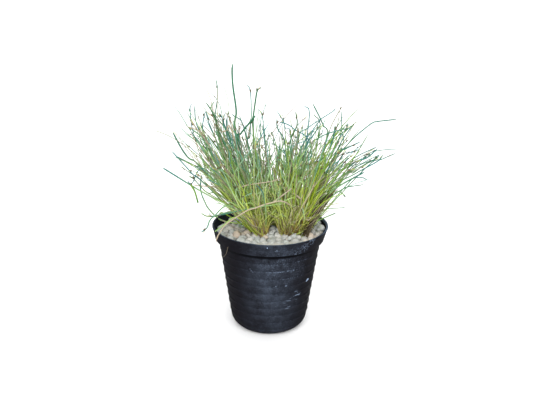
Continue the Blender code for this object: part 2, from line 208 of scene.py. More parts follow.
# The masses of stems: the mesh, its seed, and the groups that it is made from
GROWTHS = {
    "left_clump": (3, [
        Growth(450, (-8, -5), (13, 30), (-0.46, 0), (0.36, 0.36), (-0.28, 0.06), (0.2, 0.24), (50, 192),
               (1.4, 1.65), taller=-0.24, gloom=(0.85, -0.55), dry=0.24, headed=0.45, coolest=0.15),
        Growth(36, (-8.5, -28.5), (4.5, 3.5), (-0.55, -0.25), (0.25, 0.1), (-0.4, -0.1), (0.25, 0.1),
               (25, 90), dry=0.5, headed=0.1),
        Growth(36, (-16, 0), (8, 22), (-0.8, 0), (0.1, 0.5), (-0.66, 0), (0.14, 0.4), (65, 112),
               headed=0.6, coolest=0.4),
    ]),
    "right_clump": (7, [
        Growth(420, (29, -4), (16, 30), (0.12, 0), (0.22, 0.36), (0.2, 0.06), (0.34, 0.24), (45, 168),
               (1.35, 1.8), taller=0.12, gloom=(0, 1.4), dry=0.2),
        Growth(36, (38, -14), (6, 12), (0.36, -0.1), (0.1, 0.2), (0.34, 0), (0.12, 0.2), (35, 80),
               scatter=0.7, dry=0.75, headed=0.2, gloom=(0, 1.2)),
        Growth(17, (36, 8), (8, 14), (0.3, 0), (0.12, 0.4), (1.2, 0), (0.22, 0.35), (105, 150),
               scatter=0.6, dry=0.4, headed=0.6, gloom=(0.4, 1.2), coolest=0.6, lowest=0.35),
        Growth(95, (12, 10), (16, 14), (-0.02, 0.05), (0.3, 0.3), (0, 0.08), (0.22, 0.2), (45, 145),
               scatter=1.2, dry=0.06, headed=0.3),
    ]),
    "middle_undergrowth": (19, [
        Growth(190, (5, -3), (12, 6), (-0.05, -0.45), (0.35, 0.2), (0, -0.15), (0.25, 0.2), (16, 60),
               scatter=1.6, width=0.85, dry=0.08, headed=0.1, warmest=0.45, lowest=0.32),
        *[Growth(64, (x, -20), (3, 10), (foot, -0.05), (0.1, 0.1), (tip, 0), (0.1, 0.1), (22, 85),
                 scatter=1.3, width=0.85, dry=0.12, headed=0.1, warmest=0.5, lowest=0.22)
          for x, foot, tip in ((-4, 0.16, 0.1), (15.5, -0.26, -0.16))],
    ]),
    "left_undergrowth": (13, [
        Growth(360, (-9, -9), (12, 25), (-0.4, -0.1), (0.3, 0.4), (-0.25, -0.05), (0.3, 0.3), (15, 70),
               scatter=1.8, width=0.66, dry=0.5, headed=0.05, warmest=0.6),
    ]),
    "right_undergrowth": (17, [
        Growth(620, (28, -10), (17, 25), (0.05, -0.15), (0.26, 0.5), (0.02, -0.1), (0.22, 0.3), (15, 65),
               scatter=1.4, width=0.66, dry=0.42, headed=0.05, warmest=0.6, gloom=(0, 0.7)),
        Growth(70, (14, -16), (28, 14), (0, -0.2), (0.6, 0.3), (0, -0.1), (0.5, 0.3), (25, 80),
               scatter=3.5, width=0.8, dry=1.0, headed=0.0),
    ]),
}

# Single stems: a radius and points from the foot to the tip, all in millimetres. A foot of two numbers
# stands on the crown, at this height.
FOOT_LEVEL = 133
# Radius in metres that a stem gets for 1 in its table
FRAME_STEM_SCALE = 1.08 / 1000
LOOSE_STEM_SCALE = 1.08 / 880
# Where on a stem's run of colours the stems of a kind start
LOWEST_COLOURS = {"broken": 0.7, "fresh": 0.2, "headed": 0.3, "bare": 0.3}
# The frame's single stems are headed with a spikelet, but for these
FRAME_KINDS = {
    "tall_stem": "bare", "left_high_stem": "bare", "left_low_stem": "bare", "right_kinked_stem": "bare",
    "right_rim_stem": "bare", "dry_stem": "straw",
}
FRAME_STEMS = {
    "tall_stem": (1.12, (-14, -2), (-43, -4, 257), (-43, -3, 288), (-47, -1, 318), (-48, 0, 337),
                  (-47, 0, 345)),
    "tall_spikelet_stem": (0.7, (-20, 6), (-60, 12, 235), (-66, 14, 253), (-70, 16, 268), (-71, 17, 279),
                           (-68, 19, 300), (-68, 21, 314), (-70, 22, 325)),
    "bent_top_stem": (0.95, (-2, -6), (-19, -13, 240), (-21, -13, 257), (-22, -14, 279), (-18, -15, 311),
                      (-17, -15, 316), (-12, -15, 319)),
    "left_high_stem": (1.1, (-26, 6), (-90, 9, 213), (-105, 11, 224), (-114, 12, 236), (-125, 14, 257)),
    "left_low_stem": (0.95, (-22, -12), (-49, -24, 172), (-56, -25, 175), (-87, -31, 194),
                      (-130, -40, 225)),
    "left_rim_stem": (0.95, (-28, 14), (-64, 20, 136), (-82, 25, 150), (-89, 28, 162), (-93, 31, 172),
                      (-94, 33, 184), (-92, 36, 195)),
    "right_kinked_stem": (0.8, (44, 6), (82, 14, 221), (97, 18, 241), (112, 22, 256), (130, 26, 270),
                          (139, 28, 272), (162, 32, 274)),
    "right_low_stem": (0.6, (48, -8), (118, -18, 222), (136, -25, 235), (151, -30, 244)),
    "right_rim_stem": (0.6, (48, 12), (68, 20, 149), (74, 23, 152), (78, 25, 153), (102, 34, 152)),
    "front_stem": (0.6, (-5, -24, 134), (-5, -46, 172), (-8, -78, 205), (-14, -112, 226)),
    "back_stem": (0.6, (16, 26, 134), (22, 50, 174), (30, 84, 212), (36, 116, 236)),
    "dry_stem": (0.8, (24, -20, 134), (31, -32, 168), (22, -46, 183), (13, -53, 189), (4, -55, 188),
                 (-10, -56, 184), (-19, -56, 180), (-27, -54, 177), (-49, -48, 160), (-57, -46, 152),
                 (-61, -44, 145), (-65, -43, 138), (-67, -43, 131)),
}

# Course of the dead stems at the right of the mass
DEAD_EDGE = ((43, -31), (45, -30, 137), (49, -28, 147), (54, -25, 156), (60, -22, 164), (65, -20, 172),
             (70, -18, 180), (78, -15, 189), (88, -12, 197))

# More stems that stand out in the photo, by their kind
LOOSE_STEMS = {
    "headed": [
        (0.6, (-24, 8), (-95, 14, 247), (-99, 15, 256), (-102, 17, 272), (-103, 19, 287), (-102, 20, 292),
         (-100, 20, 293)),
        (0.7, (-16, -8), (-64, -12, 265), (-65, -12, 272), (-73, -13, 291), (-79, -14, 300)),
        (0.55, (-12, 4), (-59, 4, 272), (-63, 4, 278), (-65, 4, 285)),
        (0.6, (-20, -4), (-76, -6, 242), (-84, -6, 265), (-84, -6, 274), (-81, -6, 288)),
        (0.6, (-18, 8), (-72, 6, 257), (-82, 8, 285)),
        (0.55, (-12, -14), (-54, -16, 262), (-57, -18, 275), (-57, -19, 284), (-55, -20, 289)),
        (0.6, (0, 6), (-22, 8, 258), (-26, 11, 309), (-31, 12, 319)),
        (0.65, (-4, 3), (-28, -8, 246), (-26, -9, 256), (-25, -10, 281)),
        (0.55, (22, 2), (25, -2, 255), (18, -3, 267), (15, -3, 277), (7, -4, 289)),
        (0.7, (20, -8), (19, -12, 241), (8, -16, 270), (7, -18, 282)),
        (0.65, (22, 4), (22, 4, 235), (32, 5, 268), (32, 6, 279), (30, 6, 287)),
        (0.6, (28, -10), (44, -14, 245), (49, -17, 258), (59, -22, 275)),
        (0.65, (42, -8), (83, -14, 236), (91, -17, 245), (108, -24, 256)),
        (0.6, (40, 8), (90, 10, 227), (98, 11, 233), (114, 14, 238)),
        (0.6, (42, -12), (85, -20, 219), (94, -26, 236)),
        (0.75, (44, 2), (98, 4, 214), (123, 6, 229), (136, 8, 241)),
        (0.75, (46, -8), (93, -10, 208), (103, -11, 213), (116, -13, 224), (130, -15, 233),
         (134, -16, 238)),
        (0.75, (46, 8), (84, 14, 187), (109, 16, 204), (134, 19, 218), (141, 19, 223), (146, 20, 230)),
        (0.6, (42, 14), (104, 18, 211), (132, 26, 228)),
        (0.7, (34, -4), (73, -8, 243), (79, -8, 273)),
        (0.6, (26, -10), (50, -14, 247), (55, -15, 255), (68, -17, 264), (94, -20, 272), (96, -20, 270)),
        (0.6, (38, 10), (83, 12, 244), (95, 16, 263), (98, 18, 271)),
        (0.6, (-22, -14), (-79, -16, 216), (-98, -21, 200), (-103, -22, 204)),
        (0.6, (-24, -14), (-65, -20, 184), (-79, -23, 189), (-95, -27, 208), (-100, -28, 211)),
        (0.6, (-14, -16), (-39, -10, 160), (-75, 7, 147), (-80, 10, 150)),
        (0.75, (-16, -26), (-49, -30, 174), (-70, -37, 162), (-75, -39, 157), (-78, -42, 149),
         (-85, -44, 144)),
        (0.55, (46, -14), (79, -22, 187), (86, -24, 193), (94, -26, 187)),
        (0.5, (8, 6), (-7, 2, 242), (-10, 2, 275), (-12, 2, 286), (-16, 2, 290)),
        (0.5, (-1, 2), (-14, -12, 246), (-10, -13, 256), (-13, -14, 262), (-13, -16, 276)),
    ],
    "bare": [
        (0.6, (-20, 2), (-86, -2, 255), (-95, -2, 295)),
        (0.7, (-12, -8), (-50, -12, 254), (-55, -14, 282)),
        (0.6, (-2, 10), (-32, 13, 256), (-40, 15, 275), (-46, 15, 278), (-50, 16, 282)),
        (1, (-24, -6), (-40, -12, 253), (-38, -13, 261), (-19, -15, 285)),
        (0.6, (32, 6), (61, 8, 259), (53, 10, 284)),
        (0.75, (40, 4), (70, 8, 251), (66, 9, 269), (52, 10, 296)),
        (0.6, (34, -2), (45, -6, 259), (46, -8, 292), (38, -8, 295)),
        (0.6, (44, -8), (50, -12, 243), (28, -14, 269), (19, -14, 275), (9, -15, 278)),
        (0.55, (22, 0), (33, 2, 248), (46, 3, 267), (77, 6, 288), (80, 6, 293)),
        (0.6, (24, 4), (38, 2, 236), (41, 3, 247), (62, 6, 278)),
        (0.55, (40, 18), (90, 20, 235), (91, 22, 260), (89, 24, 286)),
        (0.6, (40, 2), (84, 2, 240), (103, 4, 273)),
        (0.6, (42, 16), (97, 23, 211), (112, 26, 225), (139, 30, 238)),
        (0.5, (44, 12), (118, 16, 223), (141, 21, 235), (166, 26, 235)),
        (0.9, (48, -16), (72, -20, 184), (85, -20, 198), (116, -20, 217)),
        (0.5, (34, -4), (53, -26, 171), (62, -33, 177), (69, -33, 181), (76, -33, 189), (88, -32, 198),
         (96, -31, 201), (115, -30, 204)),
        (0.6, (48, -12), (99, -20, 205), (108, -22, 210), (114, -23, 211), (120, -24, 208)),
        (0.7, (40, -30), (55, -22, 147), (63, -17, 152), (85, -6, 158)),
        (0.7, (-24, -10), (-85, -16, 201), (-96, -18, 210), (-101, -18, 216), (-121, -22, 241)),
        (0.7, (-24, 2), (-85, 4, 208), (-97, 5, 216), (-121, 6, 228)),
        (0.7, (-28, 0), (-61, 8, 151), (-69, 11, 146), (-79, 14, 144), (-86, 16, 144), (-92, 18, 147)),
        (0.7, (-16, -2), (-24, -2, 141), (-34, 0, 142), (-41, 2, 135)),
        (0.6, (-15, -6), (-23, -6, 140), (-31, -4, 141), (-38, -2, 135)),
    ],
    "fresh": [
        (0.6, (-16, -26), (-40, -38, 162), (-57, -42, 153), (-68, -44, 145)),
        (0.7, (-8, -30), (-20, -38, 177), (-29, -37, 180), (-49, -34, 175)),
        (0.7, (38, -30), (33, -40, 187), (9, -42, 181), (-18, -43, 177), (-60, -46, 168)),
    ],
    "broken": [
        (0.5, (-73, -14, 291), (-73, -14, 295), (-69, -14, 301)),
        (0.95, (-98, -33, 202), (-93, -34, 194), (-89, -35, 179)),
    ],
    "straw": [
        (0.6, (-18, -6), (-77, -12, 246), (-82, -13, 259), (-85, -14, 264), (-102, -16, 271)),
        (0.8, (-6, -14), (-47, -17, 264), (-54, -17, 266), (-61, -18, 265)),
        (0.55, (10, -38, 212), (0, -39, 209), (-27, -41, 205), (-40, -42, 201)),
        (0.95, (39, -40, 187), (28, -40, 195)),
        (0.7, (-14, -26), (-40, -34, 204), (-48, -34, 217), (-62, -34, 229)),
        (0.7, (51, -36, 162), (48, -36, 159), (40, -37, 162), (35, -38, 171)),
        (0.65, (-22, -12), (-53, -16, 180), (-63, -17, 191), (-70, -18, 195), (-96, -20, 197)),
        (0.5, (-64, 14, 139), (-55, 3, 138), (-44, -12, 138)),
        (0.6, (-11, -16, 259), (-19, -16, 247), (-15, -16, 245)),
        (0.55, (67, -28, 214), (58, -30, 207), (48, -32, 206), (40, -34, 213)),
        (0.8, (4, -46, 185), (9, -46, 189), (26, -46, 203)),
    ],
    "brown": [
        (0.32, (-51, -51, 128), (-51.7, -51, 126.6), (-53, -49, 120.5), (-54.6, -47, 115.8),
         (-58, -43, 110.1)),
    ],
}


def a_colour(name, description, default):
    return FloatVectorProperty(name=name, description=description, default=default, subtype="COLOR",
                               size=3, min=0.0, max=1.0)


def a_length(name, description, default):
    return FloatProperty(name=name, description=description, default=default, unit="LENGTH",
                         subtype="DISTANCE", min=0.0, precision=4)


class PotSettings(PropertyGroup):
    rim_radius: a_length("Rim radius", "Half the width across the lip", RIM_RADIUS)
    height: a_length("Height", "From the floor to the top of the lip", POT_HEIGHT)
    ring_proud: a_length("Ring height", "How far each ring stands out of the wall", 0.00055)
    wobble: a_length("Wobble", "How far the thin wall is out of round", 0.0003)
    facets: IntProperty(name="Facets", description="Faces round the pot", default=216, min=24)
    plastic: a_colour("Plastic", "Black recycled plastic", (0.0052, 0.0047, 0.0064))
    # The dust colour is also the colour of the painted sheen on the pot's front.
    dust_and_sheen: a_colour("Dust", "Dried dust and lime on the plastic", (0.33, 0.43, 0.60))


class GravelSettings(PropertyGroup):
    pebble_radius: a_length("Pebble radius", "Half the width of a usual pebble", 0.0056)
    tries: IntProperty(name="Tries", description="Places tried for a pebble in each layer", default=5000)
    pale: a_colour("Pale stone", "Grey white pebbles", (0.40, 0.42, 0.41))
    tan: a_colour("Tan stone", "Warm pebbles", (0.53, 0.44, 0.35))
    grit: a_colour("Grit", "Fines and soil between the pebbles", (0.44, 0.44, 0.41))
    fines: a_colour("Fines", "Washed fines at the front of the pot", (0.48, 0.46, 0.42))


class GrassSettings(PropertyGroup):
    fullness: FloatProperty(name="Fullness", description="Share of the photo's stems to grow", default=1.0,
                            min=0.05)
    stem_radius: a_length("Stem radius", "Half the width of a usual stem", 0.00054)
    sheath: a_colour("Sheath", "Old brown sheaths at the foot", (0.290, 0.180, 0.055))
    husk: a_colour("Husk", "Yellow brown just above the sheaths", (0.500, 0.380, 0.110))
    low: a_colour("Low stem", "Yellow green of the lower stems", (0.550, 0.645, 0.135))
    middle: a_colour("Middle stem", "Green of the middle of a stem", (0.400, 0.585, 0.245))
    high: a_colour("High stem", "Cool green towards the tips", (0.095, 0.265, 0.225))
    lone: a_colour("High lone stem", "Blue green of the single stems' tips", (0.050, 0.190, 0.180))
    spikelet: a_colour("Spikelet", "Brown scales of a spikelet", (0.170, 0.140, 0.080))
    straw: a_colour("Straw", "Dried pale stems", (0.430, 0.360, 0.260))
    dead: a_colour("Dead stem", "Old brown stems", (0.034, 0.024, 0.014))


class StageSettings(PropertyGroup):
    distance: a_length("Camera distance", "From the camera to the middle of the pot", 0.800)
    target_height: a_length("Target height", "Height of the point that the camera aims by", 0.075)
    elevation: FloatProperty(name="Elevation", description="Angle that the camera looks down by",
                             default=math.radians(24.85), subtype="ANGLE")
    roll: FloatProperty(name="Roll", description="Turn of the camera about its view",
                        default=-0.0125, subtype="ANGLE")
    floor: a_colour("Floor", "Pale floor and backdrop", (0.90, 0.90, 0.90))


class PottedGrassSettings(PropertyGroup):
    pot: PointerProperty(type=PotSettings)
    gravel: PointerProperty(type=GravelSettings)
    grass: PointerProperty(type=GrassSettings)
    stage: PointerProperty(type=StageSettings)


def arithmetic(operation):
    """An operator that adds a Math node, and its reflected form."""
    def forward(self, other):
        return self.maths(operation, self, other)

    def reflected(self, other):
        return self.maths(operation, other, self)

    return forward, reflected


class Wire:
    """A shader socket that does arithmetic: each operation adds the Math node that it stands for."""

    __add__, __radd__ = arithmetic("ADD")
    __sub__, __rsub__ = arithmetic("SUBTRACT")
    __mul__, __rmul__ = arithmetic("MULTIPLY")
    __truediv__, __rtruediv__ = arithmetic("DIVIDE")
    __pow__, __rpow__ = arithmetic("POWER")

    def __init__(self, look, socket):
        self.look = look
        self.socket = socket

    def maths(self, operation, *values, clamp=False):
        settings = {"operation": operation, "use_clamp": clamp}
        return self.look.node("ShaderNodeMath", settings, dict(enumerate(values)))

    def clamped(self):
        return self.maths("ADD", self, 0.0, clamp=True)

    def size(self):
        return self.maths("ABSOLUTE", self)

    def fraction(self):
        return self.maths("FRACT", self)

    def rise(self, low, high):
        """0 below low, 1 above high, smooth between; falls instead where low is the higher."""
        sockets = {"Value": self, "From Min": low, "From Max": high}
        return self.look.node("ShaderNodeMapRange", {"interpolation_type": "SMOOTHSTEP"}, sockets)

    def band(self, low, full_from, full_to, high):
        """1 within a band of values, falling to 0 at low and high."""
        return self.rise(low, full_from) * self.rise(high, full_to)

    def blend(self, low, high):
        """A colour that goes from low to high as this value goes from 0 to 1."""
        return self.look.node("ShaderNodeMix", {"data_type": "RGBA"}, {0: self, 6: low, 7: high}, 2)

    def tinted(self, tint):
        """This colour multiplied by another."""
        settings = {"data_type": "RGBA", "blend_type": "MULTIPLY"}
        return self.look.node("ShaderNodeMix", settings, {0: 1.0, 6: self, 7: tint}, 2)


class Look:
    """A new material, with its object coordinates and the textures that it is made from."""

    def __init__(self, name):
        self.material = bpy.data.materials.new(name)
        self.material.use_nodes = True
        self.tree = self.material.node_tree
        self.place = self.node("ShaderNodeTexCoord", output=3)

    def node(self, kind, settings=None, sockets=None, output=0):
        """Add a node: its settings first, then the values or links of its sockets."""
        made = self.tree.nodes.new(kind)
        for name, value in (settings or {}).items():
            if name == "stops":
                self.fill(made.color_ramp.elements, value)
            else:
                setattr(made, name, value)
        for name, value in (sockets or {}).items():
            self.give(made.inputs[name], value)
        return Wire(self, made.outputs[output])

    def fill(self, elements, stops):
        """Set a ramp's stops from (place, colour) pairs."""
        while len(elements) < len(stops):
            elements.new(1.0)
        for element, (place, colour) in zip(elements, stops):
            element.position = place
            element.color = (*colour, 1.0)

    def give(self, socket, value):
        """Link a socket to a wire, or set its value."""
        if isinstance(value, Wire):
            self.tree.links.new(value.socket, socket)
        else:
            socket.default_value = (*value, 1.0) if socket.type == "RGBA" else value

    def axis(self, index, vector=None):
        return self.node("ShaderNodeSeparateXYZ", None, {0: vector or self.place}, index)

    def upward(self):
        """How far a face looks up, from -1 to 1."""
        return self.axis(2, self.node("ShaderNodeNewGeometry", output=1))

    def stretched(self, scale):
        return self.node("ShaderNodeVectorMath", {"operation": "MULTIPLY"}, {0: self.place, 1: scale})

    def noise(self, scale, detail=4.0, roughness=0.55, vector=None):
        sockets = {"Vector": vector or self.place, "Scale": scale, "Detail": detail, "Roughness": roughness}
        return self.node("ShaderNodeTexNoise", None, sockets)

    def number(self, name):
        """A number stored on the mesh's points."""
        return self.node("ShaderNodeAttribute", {"attribute_name": name}, output=2)

    def near(self, edge, core, *places):
        """1 within core of any of some places, falling to 0 at edge, all in millimetres."""
        total = 0.0
        for place in places:
            sockets = {0: self.place, 1: [number / 1000 for number in place]}
            away = self.node("ShaderNodeVectorMath", {"operation": "DISTANCE"}, sockets, 1)
            total = away.rise(edge / 1000, core / 1000) + total
        return total.clamped()

    def surface(self, colour, roughness, height=None, depth=0.0, strength=1.0, specular=0.5):
        """Give the shader its colour, roughness, shine and bumps, and return the material."""
        values = {"Base Color": colour, "Roughness": roughness, "Specular IOR Level": specular}
        if height is not None:
            sockets = {"Height": height, "Distance": depth, "Strength": strength}
            values["Normal"] = self.node("ShaderNodeBump", None, sockets)
        for name, value in values.items():
            self.give(self.tree.nodes["Principled BSDF"].inputs[name], value)
        return self.material


class Heap:
    """Points, faces and per-point numbers of one mesh, gathered from many closed shapes."""

    def __init__(self):
        self.points = []
        self.faces = []
        self.numbers = {}
        self.count = 0

    def add(self, points, faces, **numbers):
        """Add a shape: points (n, 3), faces as a list of arrays of like faces, and its numbers."""
        self.points.append(points)
        for group in faces:
            self.faces += (group + self.count).tolist()
        for name, value in numbers.items():
            self.numbers.setdefault(name, []).append(np.broadcast_to(value, len(points)))
        self.count += len(points)

    def build(self, name, material, slot, *nodes):
        """Make the object, give it its material, and let it stand for its frame nodes; slot is not used."""
        mesh = bpy.data.meshes.new(name)
        mesh.from_pydata(np.concatenate(self.points).tolist(), [], self.faces)
        for number, parts in self.numbers.items():
            stored = mesh.attributes.new(number, "FLOAT", "POINT")
            stored.data.foreach_set("value", np.concatenate(parts).astype(np.float32))
        mesh.shade_smooth()
        mesh.materials.append(material)
        piece = bpy.data.objects.new(name, mesh)
        bpy.context.scene.collection.objects.link(piece)
        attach(piece, "root")
        if nodes:
            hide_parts(*nodes)
        return piece


def unit(vectors):
    return vectors / np.maximum(np.linalg.norm(vectors, axis=-1, keepdims=True), 1e-12)


def circle(facets):
    """Even angles round a circle, and their directions (facets, 2)."""
    turn = TAU * np.arange(facets) / facets
    return turn, np.stack([np.cos(turn), np.sin(turn)], axis=1)


def apart(angle, other):
    """How far an angle is from another, from -pi to pi."""
    return (angle - other + math.pi) % TAU - math.pi


def ring_walls(index):
    """Faces between each ring of point numbers and the next."""
    ahead = np.roll(index, -1, axis=-1)
    corners = index[..., :-1, :], ahead[..., :-1, :], ahead[..., 1:, :], index[..., 1:, :]
    return np.stack(corners, axis=-1).reshape(-1, 4)


def stacked(levels):
    """Points and faces of a closed form from its rings of points (ring, facet, xyz), lowest first."""
    points = np.array(levels)
    index = np.arange(points.size // 3).reshape(points.shape[:2])
    return points.reshape(-1, 3), [ring_walls(index), index[:1, ::-1], index[-1:]]


def tubes(paths, radii, sides):
    """Closed tubes along paths (stem, ring, xyz) of radii (stem, ring): points and faces."""
    along = unit(np.gradient(paths, axis=1))
    chord = paths[:, -1] - paths[:, 0]
    across = (np.cross(chord, (0.0, 0.0, 1.0)) + chord[:, [2]] * (0.01, 0.0, 0.0))[:, None]
    first = unit(across - along * np.sum(across * along, axis=2, keepdims=True))
    second = np.cross(along, first)
    turn = circle(sides)[0][:, None]
    ring = np.cos(turn) * first[:, :, None] + np.sin(turn) * second[:, :, None]
    points = paths[:, :, None] + radii[:, :, None, None] * ring
    index = np.arange(radii.size * sides).reshape(*radii.shape, sides)
    return points.reshape(-1, 3), [ring_walls(index), index[:, 0, ::-1], index[:, -1]]


def smooth_path(points, rings):
    """A path of even rings on a Catmull-Rom curve through points given in millimetres."""
    if len(points[0]) == 2:
        points = ((*points[0], FOOT_LEVEL), *points[1:])
    points = np.array(points) / 1000
    padded = np.vstack([2 * points[0] - points[1], points, 2 * points[-1] - points[-2]])
    t = np.linspace(0, 1, 12, endpoint=False)[:, None]
    runs = [0.5 * (2 * b + (c - a) * t + (2 * a - 5 * b + 4 * c - d) * t ** 2
                   + (3 * b - a - 3 * c + d) * t ** 3)
            for a, b, c, d in zip(padded, padded[1:], padded[2:], padded[3:])]
    dense = np.vstack([*runs, points[-1:]])
    reach = np.concatenate([[0], np.cumsum(np.linalg.norm(np.diff(dense, axis=0), axis=1))])
    even = np.linspace(0, reach[-1], rings)
    return np.stack([np.interp(even, reach, column) for column in dense.T], axis=1)


def wall_radius(height, inset=0.0):
    return WALL_FLOOR_RADIUS + height * math.tan(SLOPE) - inset / math.cos(SLOPE)


def collar_radius(height, inset=0.0):
    share = (height - COLLAR_FOOT_Z) / (POT_HEIGHT - LIP_HEIGHT - COLLAR_FOOT_Z)
    return COLLAR_FOOT_RADIUS + (RIM_RADIUS - LIP_PROUD - COLLAR_FOOT_RADIUS) * share - inset


def gravel_height(x, y):
    return GRAVEL_LEVEL + GRAVEL_RISE.x * x + GRAVEL_RISE.y * y


def front_bank(x, y):
    """Height of the bank of fines against the front of the pot."""
    off = (np.arctan2(y, x) + math.pi / 2) / BANK_WIDTH
    return BANK_HEIGHT * np.exp(-(off ** 2)) * np.clip((np.hypot(x, y) - BANK_START) / BANK_RUN, 0, 1)


def lumps(places, height, scale, seed):
    """Uneven heights at some places."""
    return np.array([noise.noise(Vector((*place, seed)) * scale) * height for place in places])


def bump(x, y, spot):
    """1 at a spot (x, y, width), falling to nothing a few widths away."""
    off_x, off_y = x - spot[0], y - spot[1]
    return math.exp(-(off_x * off_x + off_y * off_y) / spot[2] ** 2)


def crown_reach(angle):
    """Radius of the crown's outline about its centre, at an angle or an array of angles."""
    oval = 1.0 / np.hypot(np.cos(angle) / CROWN_RADII[0], np.sin(angle) / CROWN_RADII[1])
    reach = oval * (1.0 + 0.035 * np.cos(3 * angle + 0.6))
    for middle, width, depth in DENTS:
        reach = reach - depth * np.exp(-((apart(angle, middle) / width) ** 2))
    return reach


def beside_crown(x, y):
    """How far a place is outside the crown's outline, or inside the notch at its front."""
    arm_x, arm_y = x - CROWN_CENTRE.x, y - CROWN_CENTRE.y
    outside = np.hypot(arm_x, arm_y) - crown_reach(np.arctan2(arm_y, arm_x))
    notch = 1.0 - np.hypot((x - NOTCH_CENTRE[0]) / NOTCH_RADII[0], (y - NOTCH_CENTRE[1]) / NOTCH_RADII[1])
    return np.maximum(outside, notch * NOTCH_RADII[0])


def foot_curve(inset, steps):
    centre = WALL_FLOOR_RADIUS - FOOT_ROUNDING * (1 - math.sin(SLOPE)) / math.cos(SLOPE)
    radius = FOOT_ROUNDING - inset
    angles = np.linspace(-math.pi / 2, -SLOPE, steps)
    return [(centre + radius * math.cos(a), FOOT_ROUNDING + radius * math.sin(a)) for a in angles]


def rounded(points, radius, steps=4):
    """Round the corners of an open run of points, leaving its ends."""
    result = [points[0]]
    for before, corner, after in zip(points, points[1:], points[2:]):
        corner = Vector(corner)
        arms = [Vector(before) - corner, Vector(after) - corner]
        reach = min(radius, 0.45 * arms[0].length, 0.45 * arms[1].length)
        start, end = [corner + arm.normalized() * reach for arm in arms]
        for i in range(steps + 1):
            t = i / steps
            result.append(tuple(start * (1 - t) ** 2 + corner * 2 * t * (1 - t) + end * t * t))
    return [*result, points[-1]]


def pot_outline(pot):
    """The pot's half section from the middle of its base, up the outside and down the inside."""
    heights = np.arange(FOOT_ROUNDING, COLLAR_FOOT_Z - 0.001, 0.0005)
    wall = [(wall_radius(height), height) for height in heights]
    inner_shoulder = SHOULDER_Z + WALL
    lip_foot = pot.height - LIP_HEIGHT
    collar = rounded([
        wall[-1],
        (wall_radius(SHOULDER_Z), SHOULDER_Z + 0.0004),
        (COLLAR_FOOT_RADIUS - 0.0010, SHOULDER_Z + 0.0004),
        (COLLAR_FOOT_RADIUS - 0.0008, COLLAR_FOOT_Z - 0.0003),
        (COLLAR_FOOT_RADIUS, COLLAR_FOOT_Z),
        (collar_radius(lip_foot), lip_foot),
        (pot.rim_radius, lip_foot + 0.0003),
        (pot.rim_radius, pot.height),
        (collar_radius(pot.height, COLLAR_WALL), pot.height),
        (collar_radius(inner_shoulder, COLLAR_WALL), inner_shoulder),
        (wall_radius(inner_shoulder, WALL), inner_shoulder),
        (wall_radius(FOOT_ROUNDING, WALL), FOOT_ROUNDING),
    ], 0.0005)
    return foot_curve(0.0, 16)[:-1] + wall + collar[1:-1] + foot_curve(WALL, 12)[::-1]


def turned(outline, facets):
    """Turn a closed half section whose first and last points close on the axis."""
    out = circle(facets)[1]
    return stacked([np.column_stack([radius * out, np.full(facets, height)]) for radius, height in outline])


def shape_wall(points, pot):
    """Give a turned wall its rings, push it a little out of round, and crease the collar."""
    x, y, z = points.T
    angle = np.arctan2(y, x)
    height = z / POT_HEIGHT
    shift = pot.wobble * height * (np.sin(2 * angle + 0.7) + 0.6 * np.sin(3 * angle + 2.0 + 2 * height))
    ring = np.round((z - RING_FIRST_Z) / RING_PITCH)
    off = z - RING_FIRST_Z - ring * RING_PITCH
    on_wall = (np.hypot(x, y) > wall_radius(z, 0.5 * WALL)) & (ring >= 0) & (ring < RING_COUNT)
    uneven = np.array([noise.noise(Vector((3 * math.cos(a), 3 * math.sin(a), 2.7 * r)))
                       for a, r in zip(angle, ring)])
    bead = np.exp(-np.abs(off / np.where(off > 0, 0.0004, 0.0016)) ** 1.5)
    shift += on_wall * pot.ring_proud * bead * (1 + 0.9 * uneven)
    on_collar = np.clip((z - COLLAR_FOOT_Z) / 0.003, 0, 1)
    for crease in CREASES:
        shift -= 0.0005 * on_collar * np.exp(-((apart(angle, crease) / 0.030) ** 2))
    shift += 0.0013 * on_collar * np.exp(-((angle / 0.7) ** 2))
    lift = 0.0003 * on_collar * height * np.sin(2 * angle + 1.1)
    return points + np.stack([np.cos(angle) * shift, np.sin(angle) * shift, lift], axis=1)


